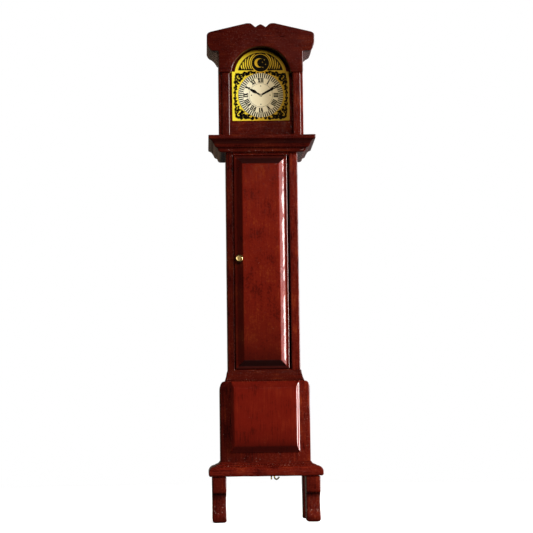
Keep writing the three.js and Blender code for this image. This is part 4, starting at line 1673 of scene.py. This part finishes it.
# The wire hook goes up from the left, over the chain's end and down into a curl: (across, up).
hookShape = {
    "wire": 0.27,
    "bends": [(-0.55, 0.25), (-0.55, 1.5), (-0.55, 2.55), (0, 3.1), (0.55, 2.55), (0.55, 1.2),
              (0.75, 0.6), (1.25, 0.28), (1.8, 0.5), (2.35, 1.15)],
}


def addHook(side, look):
    low, high = nodeBox(f"chain_tail_{side}")
    x, y, _ = (low + high) / 2
    bottom = nodeBox(f"chain_hook_{side}")[0][2]
    path = smoothPath([(x + across, y, bottom + up) for across, up in look["bends"]])
    shape = wire(path, look["wire"])
    addBrassPiece(f"chain_hook_{side}", "wire", shape, f"chain_tail_{side}", hookBrass)


for side in ("left", "right"):
    addBrassPiece(f"weight_chain_{side}", "links",
                  chainLinks(*nodeBox(f"weight_chain_{side}"), chainShape), f"weight_{side}")
    addWeight(side, weightShape)
    addBrassPiece(f"chain_tail_{side}", "links",
                  chainLinks(*nodeBox(f"chain_tail_{side}"), chainShape), f"chain_tail_{side}")
    addHook(side, hookShape)

# The nut's height is from the bob's foot down, and its corners are cut by "chamfer".
pendulumShape = {
    "rod": 0.28,
    "loop": 0.95,
    "loopWire": 0.28,
    "nut": 0.8,
    "nutLevels": (1.15, 0.05),
    "chamfer": 0.15,
    "lens": 0.9,
}


# A rod with a wire loop at its top and a nut under a bob. The bob is a lens: radius * cos(t)^lens
# out and half its depth * sin(t) along.
def addPendulum(look):
    low, high = nodeBox("pendulum_rod")
    x, y, _ = (low + high) / 2
    bobLow, bobHigh = nodeBox("pendulum_bob")
    level, radius = (bobLow[2] + bobHigh[2]) / 2, (bobHigh[2] - bobLow[2]) / 2
    half = (bobHigh[1] - bobLow[1]) / 2
    around = np.linspace(0, 2 * np.pi, 33)
    centre = high[2] - look["loop"] - look["loopWire"]
    loopX, loopZ = x + look["loop"] * np.cos(around), centre + look["loop"] * np.sin(around)
    ring = np.stack([loopX, 0 * around + y, loopZ], axis=1)
    rodTop = centre - look["loop"]
    rodProfile = [(0, low[2]), (look["rod"], low[2] + 0.1), (look["rod"], rodTop), (0, rodTop)]
    rod = turned(rodProfile, (x, y, 0), 2, 16)
    nutFoot, nutTop = (bobLow[2] - down for down in look["nutLevels"])
    flat = look["nut"] - look["chamfer"]
    nutProfile = [
        (0, nutFoot), (flat, nutFoot), (look["nut"], nutFoot + look["chamfer"]),
        (look["nut"], nutTop - look["chamfer"]), (flat, nutTop), (0, nutTop),
    ]
    nut = turned(nutProfile, (x, y, 0), 2, 24)
    shape = joined([rod, nut, wire(ring, look["loopWire"])])
    addBrassPiece("pendulum_rod", "wire", shape, "pendulum")
    rim = np.linspace(-np.pi / 2, np.pi / 2, 17)
    profile = np.stack([radius * np.cos(rim) ** look["lens"], half * np.sin(rim)], axis=1)
    profile[[0, -1], 0] = 0
    addBrassPiece("pendulum_bob", "turned", turned(profile, (x, y, level), 1, 56), "pendulum")


addPendulum(pendulumShape)
print("brass is made")

# CAD nodes that keep their own shape and take a finish

keptNodes = {
    "deck_strip_front": caseAcross, "deck_strip_left": caseDeep, "deck_strip_right": caseDeep,
    "door_stop": caseUpright, "top_rail": caseAcross, "bottom_rail": caseAcross,
    "seat_board": caseAcross, "hinge_pin_top": agedBrass, "hinge_pin_bottom": agedBrass,
    "pendulum_hook": brassMaterial, "weight_eye_left": brassMaterial,
    "weight_eye_right": brassMaterial, "tail_eye_left": brassMaterial,
    "tail_eye_right": brassMaterial,
}
for node, material in keptNodes.items():
    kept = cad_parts[node]
    kept.data.materials.clear()
    kept.data.materials.append(material)
print("kept nodes have their finish")
